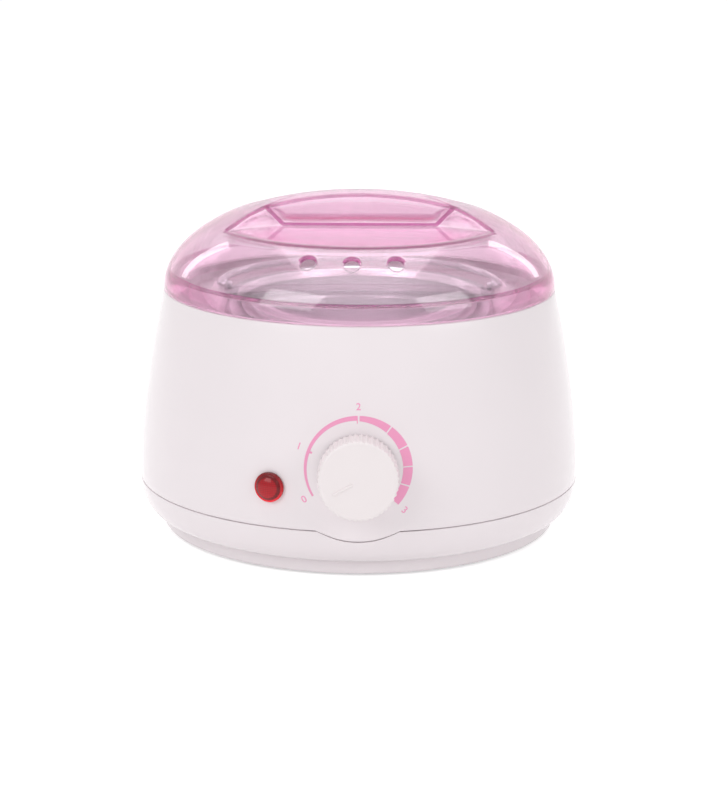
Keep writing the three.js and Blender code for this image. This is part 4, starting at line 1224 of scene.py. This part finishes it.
class MakeHandle(bpy.types.Operator):
    """Models the wire handle: half a ring of wire with its ends turned in as pins"""
    bl_idname = "wax_heater.make_handle"
    bl_label = "Make the handle"

    def execute(self, context):
        pot = settings().pot
        bend, reach = pot.handle_bend, pot.handle_radius
        piece = primitive(
            bpy.ops.mesh.primitive_circle_add, "pot_bail", vertices=20, radius=pot.wire,
            location=(reach, bend, 0), rotation=(math.pi / 2, 0, 0))
        to_mode("OBJECT")
        bpy.ops.object.transform_apply(location=True, rotation=True, scale=True)
        to_mode("EDIT")
        select_all()
        spin(96, -math.pi, (0, bend, 0))
        # The arc keeps its reach to the back, though it starts a little behind the hinge line
        select_all()
        bpy.ops.transform.resize(value=(1, (reach - bend) / reach, 1), center_override=(0, bend, 0))
        for side in (-1, 1):
            pin_start = side * (reach - bend)
            pick(piece, "VERT", lambda co, normal: abs(co.y - bend) < 1e-6 and co.x * side > 0)
            spin(8, side * math.pi / 2, (pin_start, bend, 0))
            pick(piece, "VERT", lambda co, normal: abs(co.x - pin_start) < 1e-6
                 and abs(co.y) < 2 * pot.wire)
            extrude((-side * (pot.wire + pot.pin - bend), 0, 0))
            bpy.ops.mesh.edge_face_add()
        tidy_surface(1e-6)
        hand_over(place(piece, at(z=pot.pivot)), "pot_handle", "handle_steel", "pot_handle", smooth=50)
        return {"FINISHED"}


class MakeEars(bpy.types.Operator):
    """Models a bent ear with its hinge hole and copies it to both sides of the rim"""
    bl_idname = "wax_heater.make_ears"
    bl_label = "Make the ears"

    def execute(self, context):
        pot, clearance = settings().pot, settings().body.clearance
        face = pot.handle_radius - pot.wire - clearance
        back = face - pot.ear_thickness
        ear = extruded("ear_pattern", rounded([
            (face, 0, 0.9 * MM),
            (face, pot.ear_height),
            (back, pot.ear_height),
            (back, pot.ear_thickness, 0.5 * MM),
            (back - pot.ear_foot, pot.ear_thickness),
            (back - pot.ear_foot, 0),
        ]), -pot.ear_width / 2, pot.ear_width / 2)
        to_mode("EDIT")
        # The ear's upper corners are rounded as a stamped tab's are
        pick(ear, "EDGE", lambda co, way: co.z > pot.ear_height - 1e-6 and abs(way.x) > 0.9)
        bpy.ops.mesh.bevel(offset=2.2 * MM, segments=6)
        to_mode("OBJECT")
        foot = pot.rim_top + clearance
        bore = rod("bore", pot.wire + clearance, back - PAST, face + PAST)
        combine(ear, place(bore, Matrix.Translation((0, 0, pot.pivot - foot)) @ Matrix.Rotation(
            math.pi / 2, 4, "Y")))
        bevel(ear, 0.15 * MM, 2, 50)
        for name, turn in (("right", 0), ("left", math.pi)):
            made = copied(ear, f"ear_tab_{name}", at(z=foot) @ Matrix.Rotation(turn, 4, "Z"))
            hand_over(made, "pot", "handle_steel", f"pot_ear_{name}")
        bpy.data.objects.remove(ear)
        return {"FINISHED"}


class MakeWell(bpy.types.Operator):
    """Models the heated well with its flange and its bead"""
    bl_idname = "wax_heater.make_well"
    bl_label = "Make the well"

    def execute(self, context):
        pot, body = settings().pot, settings().body
        outer, wall = pot.well_radius, pot.wall
        bottom = pot.rim_top - pot.depth - body.clearance - wall
        flange, flange_end = body.deck + body.clearance, outer + pot.well_flange
        bead, bead_end = body.deck - pot.bead_drop, outer + pot.bead_rise
        piece = revolve("well_pressed", rounded([
            (0, bottom),
            (outer, bottom, 6 * MM),
            (outer, bead, 0.4 * MM),
            (bead_end, bead + 0.5 * MM, 0.6 * MM),
            (bead_end, bead + 2.2 * MM, 0.6 * MM),
            (outer, bead + 3.5 * MM, 0.4 * MM),
            (outer, flange, 0.3 * MM),
            (flange_end, flange, 0.3 * MM),
            (flange_end, flange + wall, 0.5 * MM),
            (outer - wall, flange + wall, 0.8 * MM),
            (outer - wall, bottom + wall, 5 * MM),
            (0, bottom + wall),
        ], 6), 160)
        hand_over(place(piece, at()), "housing", "well_aluminium", "well", smooth=50)
        return {"FINISHED"}


# Knob, dial, pilot lens and gland

def fluted_rod(name):
    """The knob's fluted side: one flute, drawn as a line, is spun into the whole outline."""
    control = settings().control
    turn, steps = 2 * math.pi / control.flutes, 8
    line = []
    for i in range(steps + 1):
        radius = control.knob_radius - control.flute_depth * abs(math.cos(math.pi * i / steps)) ** 1.4
        way = turn * i / steps
        line.append((radius * math.cos(way), radius * math.sin(way), control.knob_lift))
    piece = draw_line(name, line)
    select_all()
    spin(control.flutes, 2 * math.pi, dupli=True)
    select_all()
    bpy.ops.mesh.remove_doubles(threshold=1e-6)
    bpy.ops.mesh.edge_face_add()
    extrude((0, 0, control.knob_length + MM))
    tidy_surface()
    return piece


class MakeKnob(bpy.types.Operator):
    """Models the fluted knob with its hollow back, its hub and its raised pointer"""
    bl_idname = "wax_heater.make_knob"
    bl_label = "Make the knob"

    def execute(self, context):
        control = settings().control
        face, below = control.knob_lift + control.knob_length, -1 * MM
        rounding = revolve("knob_blank", rounded([
            (0, face),
            (control.knob_radius, face - 0.15 * MM, control.knob_round),
            (control.knob_radius + 1 * MM, below),
            (0, below),
        ], 10), 150)
        piece = combine(fluted_rod("knob_cap"), rounding, "INTERSECT")
        hub, inside, top = control.hub_radius, control.knob_inside, face - control.knob_wall
        hollow = [(hub, below), (inside, below), (inside, top), (hub, top), (hub, below)]
        combine(piece, revolve("hollow", hollow, 64))
        combine(piece, rod("hub_recess", control.recess_radius, below, control.recess_depth, 48))
        combine(piece, rod("shaft_bore", control.shaft_bore, below, control.shaft_depth, 48))
        # The pointer reaches 0.6 mm into the face
        height = control.pointer_height + 0.6 * MM
        pointer = block("pointer", (control.pointer_length, control.pointer_width, height), (
            control.pointer_start + control.pointer_length / 2, 0,
            face + control.pointer_height - height / 2))
        bevel(pointer, 0.25 * MM, 4)
        combine(piece, place(pointer, Matrix.Rotation(control.off_angle, 4, "Z")), "UNION")
        hand_over(place(piece, knob_seat()), "knob", "knob_abs", "knob", smooth=32)
        return {"FINISHED"}


class MakeLens(bpy.types.Operator):
    """Models the domed pilot lens with its rim and stem"""
    bl_idname = "wax_heater.make_lens"
    bl_label = "Make the pilot lens"

    def execute(self, context):
        control = settings().control
        radius, rise = control.lens_radius, control.lens_rise
        seat, dome_start = 0.3 * MM, 1.5 * MM
        stem_end, stem_inside = -6 * MM, control.lens_stem - 1.4 * MM
        dome = arc([0, dome_start], [radius - 0.9 * MM, rise - dome_start], 8, 90, 16)
        piece = revolve("pilot_lens_cap", [
            (0, 0.9 * MM),
            (stem_inside, 0),
            *rounded([
                (stem_inside, stem_end),
                (control.lens_stem, stem_end, 0.3 * MM),
                (control.lens_stem, seat),
                (radius, seat, 0.2 * MM),
                (radius, 1.7 * MM, 0.55 * MM),
                (radius - 0.85 * MM, 1.75 * MM, 0.25 * MM),
                dome[0],
            ], 6),
            *dome[1:],
        ], 96)
        hand_over(place(piece, lens_seat()), "housing", "red_lens", "pilot_lens", smooth=40)
        return {"FINISHED"}


class MakeGland(bpy.types.Operator):
    """Models the cord gland at the back, with its flange and its rounded mouth"""
    bl_idname = "wax_heater.make_gland"
    bl_label = "Make the cord gland"

    def execute(self, context):
        control = settings().control
        radius, bore = control.gland_radius, control.gland_bore
        seat, flange = 0.3 * MM, radius + 2.5 * MM
        inner_end, mouth = -7 * MM, 5 * MM
        piece = revolve("cord_gland_bush", rounded([
            (bore, inner_end),
            (radius, inner_end, 0.3 * MM),
            (radius, seat),
            (flange, seat, 0.2 * MM),
            (flange, 2 * MM, 0.8 * MM),
            (radius, 2.2 * MM, 0.6 * MM),
            (radius - 0.3 * MM, mouth, 0.6 * MM),
            (bore, mouth, 0.9 * MM),
            (bore, inner_end),
        ], 6), 96)
        hand_over(place(piece, gland_seat()), "housing", "gland_nylon", "cord_gland", smooth=40)
        return {"FINISHED"}


def band_piece(name, start, end, outer, widths, steps):
    """A flat arc between two angles in degrees, spun from its outer edge, whose width runs evenly
    from one value to another."""
    first, last = widths
    turn = math.radians(start)
    way = Vector((math.cos(turn), math.sin(turn), 0))
    piece = draw_line(name, [way * (outer - first), way * outer])
    select_all()
    spin(steps, math.radians(start - end))
    to_mode("OBJECT")
    for vertex in piece.data.vertices:
        flat = vertex.co.to_2d()
        if first != last and flat.length < outer - first / 2:
            gone = (start + 1 - math.degrees(math.atan2(flat.y, flat.x))) % 360 - 1
            width = first + (last - first) * gone / (start - end)
            vertex.co = Vector((*(flat.normalized() * (outer - width)), 0))
    return piece


def number_piece(text, turn, tilt):
    """A plain number of the scale, as a flat mesh at its place round the axis."""
    control = settings().control
    to = Vector((math.cos(math.radians(turn)), math.sin(math.radians(turn)), 0)) * control.number_radius
    bpy.ops.object.select_all(action="DESELECT")
    bpy.ops.object.text_add()
    words = bpy.context.object.data
    words.body = text
    words.align_x = words.align_y = "CENTER"
    words.size = control.number_size
    words.offset = 0.05 * MM
    bpy.ops.object.convert(target="MESH")
    piece = bpy.context.object
    piece.name = piece.data.name = "number_" + text
    return place(piece, Matrix.Translation(to) @ Matrix.Rotation(math.radians(tilt), 4, "Z"))


class MakeDial(bpy.types.Operator):
    """Models the printed scale round the knob, with plain numbers, laid onto the wall"""
    bl_idname = "wax_heater.make_dial"
    bl_label = "Make the dial print"

    def execute(self, context):
        control = settings().control
        outer, broad, fine = control.dial_radius, control.dial_width, control.dial_line
        # Each stretch of the scale and each mark: its two ends in degrees, outer radius, the widths
        # at its ends, and the steps of its arc
        stretches = (
            (212, 90.8, outer, (fine, 1.9 * MM), 60),
            (88.8, 53.5, outer, (2.1 * MM, 3.1 * MM), 18),
            (51.9, 26.3, outer, (3.3 * MM, broad), 14),
            (24.7, 3.1, outer, (broad, broad), 10),
            (1.7, -18.6, outer, (broad, broad), 10),
            (-20.2, -42.3, outer, (broad, broad), 10),
            (162.4, 160, outer - 1.2 * MM, (1 * MM, 1 * MM), 2),
            (91.9, 90.8, outer - 1.8 * MM, (1.2 * MM, 1.2 * MM), 2),
        )
        made = [band_piece(f"scale_{i}", *stretch) for i, stretch in enumerate(stretches)]
        for text, turn, tilt in (("0", 211, 30), ("1", 160, -18), ("2", 90, 0), ("3", -42.5, -40)):
            made.append(number_piece(text, turn, tilt))
        piece = joined(made)
        piece.name = piece.data.name = "dial_print"
        # From well in front of the wall, the print is laid onto it
        place(piece, Matrix.Translation((0, -20 * MM, 0)) @ dial_seat())
        modified(piece, "SHRINKWRAP", wrap_method="PROJECT", target=bpy.data.objects["housing_shell"],
                 use_project_y=True, wrap_mode="ABOVE_SURFACE", offset=control.print_height)
        modified(piece, "SOLIDIFY", thickness=control.print_height * 0.8, offset=-1)
        to_mode("EDIT")
        select_all()
        bpy.ops.mesh.normals_make_consistent(inside=False)
        to_mode("OBJECT")
        hand_over(piece, "housing", "dial_ink")
        return {"FINISHED"}


class DressHiddenParts(bpy.types.Operator):
    """Gives every node that stays from the frame the finish of its slot"""
    bl_idname = "wax_heater.dress_hidden_parts"
    bl_label = "Dress the hidden parts"

    def execute(self, context):
        for subpart in frame["record"]["subparts"]:
            node = frame["nodes"][subpart["node"]]
            if not node.hide_render:
                node.data.materials.clear()
                node.data.materials.append(finish_of(subpart["material_slot"]))
        return {"FINISHED"}


# The stage

def seen_rays(material):
    """1 for rays from the camera, and for those that a mirror or clear plastic passes on."""
    rays = add_node(material, "LightPath")
    return rays["Is Camera Ray"].highest(rays["Is Glossy Ray"]).highest(rays["Is Transmission Ray"])


def make_floor():
    """A pale floor that keeps a faint shadow and is lit up to white where it is seen."""
    floor = primitive(bpy.ops.mesh.primitive_plane_add, "floor", size=8)
    to_mode("OBJECT")
    material = new_material("Pale floor")
    plain = add_node(material, "BsdfDiffuse", {"Color": linear("#FAFAFA")})
    white = add_node(material, "Emission", {"Color": (1, 1, 1), "Strength": 0.53})
    lit = add_node(material, "AddShader", {0: plain, 1: white})
    seen = add_node(material, "MixShader", {0: seen_rays(material), 1: plain, 2: lit})
    add_node(material, "OutputMaterial", {"Surface": seen})
    floor.data.materials.append(material)


def make_world(scene):
    """White where it is seen, and half as bright as a light."""
    world = emptied(bpy.data.worlds.new("Studio"))
    strength = add_node(world, "MapRange", {"Value": seen_rays(world), "To Min": 0.5})
    sky = add_node(world, "Background", {"Color": (1, 1, 1), "Strength": strength})
    add_node(world, "OutputWorld", {"Surface": sky})
    scene.world = world


def make_lamps():
    """Soft lamps that look at the heater. Each has a place, a size, a lean in degrees and a power."""
    aim = Vector((0, 0, 0.1))
    # The two strips behind give the lid the long bright streaks of its shoulders
    lamps = (
        ("soft_front_left", (-0.75, -0.9, 0.75), (0.7, 0.7), 0, 4.7),
        ("soft_front_right", (0.85, -0.75, 0.6), (0.6, 0.6), 0, 2.8),
        ("soft_top", (0.0, 0.15, 1.2), (0.9, 0.9), 0, 4.0),
        ("strip_rear_left", (-0.76, 0.64, 0.56), (0.13, 0.6), 29, 0.65),
        ("strip_rear_right", (0.73, 0.69, 0.56), (0.13, 0.6), -29, 0.65),
    )
    for name, spot, size, lean, power in lamps:
        bpy.ops.object.light_add(type="AREA", location=spot)
        lamp = bpy.context.object
        lamp.name = lamp.data.name = name
        lamp.data.shape = "RECTANGLE"
        lamp.data.size, lamp.data.size_y = size
        lamp.data.energy = power
        look = (aim - Vector(spot)).to_track_quat("-Z", "Y").to_matrix().to_4x4()
        lamp.matrix_world = Matrix.Translation(spot) @ look @ Matrix.Rotation(math.radians(lean), 4, "Z")


def make_camera(scene):
    """The photograph's camera: a lens of 2210 px on a frame whose long side is 800 px."""
    focal_pixels, long_side_pixels, sensor = 2210, 800, 36
    look_down, roll = math.radians(15.88), math.radians(0.29)
    bpy.ops.object.camera_add()
    camera = bpy.context.object
    camera.name = camera.data.name = "photo_camera"
    camera.data.sensor_width = sensor
    camera.data.lens = focal_pixels * sensor / long_side_pixels
    camera.data.clip_start = 0.05
    camera.matrix_world = (
        Matrix.Translation((0.0021, -0.9 + AXIS_Y, 0.308))
        @ Matrix.Rotation(math.pi / 2 - look_down, 4, "X")
        @ Matrix.Rotation(roll, 4, "Z")
    )
    scene.camera = camera


class MakeStage(bpy.types.Operator):
    """Sets the pale floor, the soft lamps, the world and the camera"""
    bl_idname = "wax_heater.make_stage"
    bl_label = "Make the stage"

    def execute(self, context):
        make_floor()
        make_world(context.scene)
        make_lamps()
        make_camera(context.scene)
        context.scene.view_settings.view_transform = "Standard"
        return {"FINISHED"}


PIECE_OPERATORS = (
    MakeHousing, MakeBase, MakeFeet, MakeScrews, MakeWell, MakePot, MakeEars, MakeHandle,
    MakeKnob, MakeLens, MakeGland, MakeDial, MakeLid, DressHiddenParts, MakeStage,
)


class HeaterPanel(bpy.types.Panel):
    """The heater's sizes, colours and steps"""
    bl_idname = "VIEW3D_PT_wax_heater"
    bl_label = "Wax heater"
    bl_space_type = "VIEW_3D"
    bl_region_type = "UI"
    bl_category = "Wax heater"

    def draw(self, context):
        heater = context.scene.wax_heater
        for group in (heater.body, heater.lid, heater.pot, heater.control, heater.finish):
            box = self.layout.box()
            for key in group.__annotations__:
                box.prop(group, key)
        for operator in PIECE_OPERATORS:
            self.layout.operator(operator.bl_idname)


CLASSES = (
    BodySizes, LidSizes, PotSizes, ControlSizes, Finishes, HeaterSettings, *PIECE_OPERATORS, HeaterPanel,
)


def register():
    for cls in CLASSES:
        bpy.utils.register_class(cls)
    bpy.types.Scene.wax_heater = bpy.props.PointerProperty(
        type=HeaterSettings, name="Wax heater", description="Sizes and colours of the wax heater")


def unregister():
    del bpy.types.Scene.wax_heater
    for cls in reversed(CLASSES):
        bpy.utils.unregister_class(cls)


def main():
    register()
    for operator in PIECE_OPERATORS:
        group, name = operator.bl_idname.split(".")
        getattr(getattr(bpy.ops, group), name)()


if __name__ == "__main__":
    main()
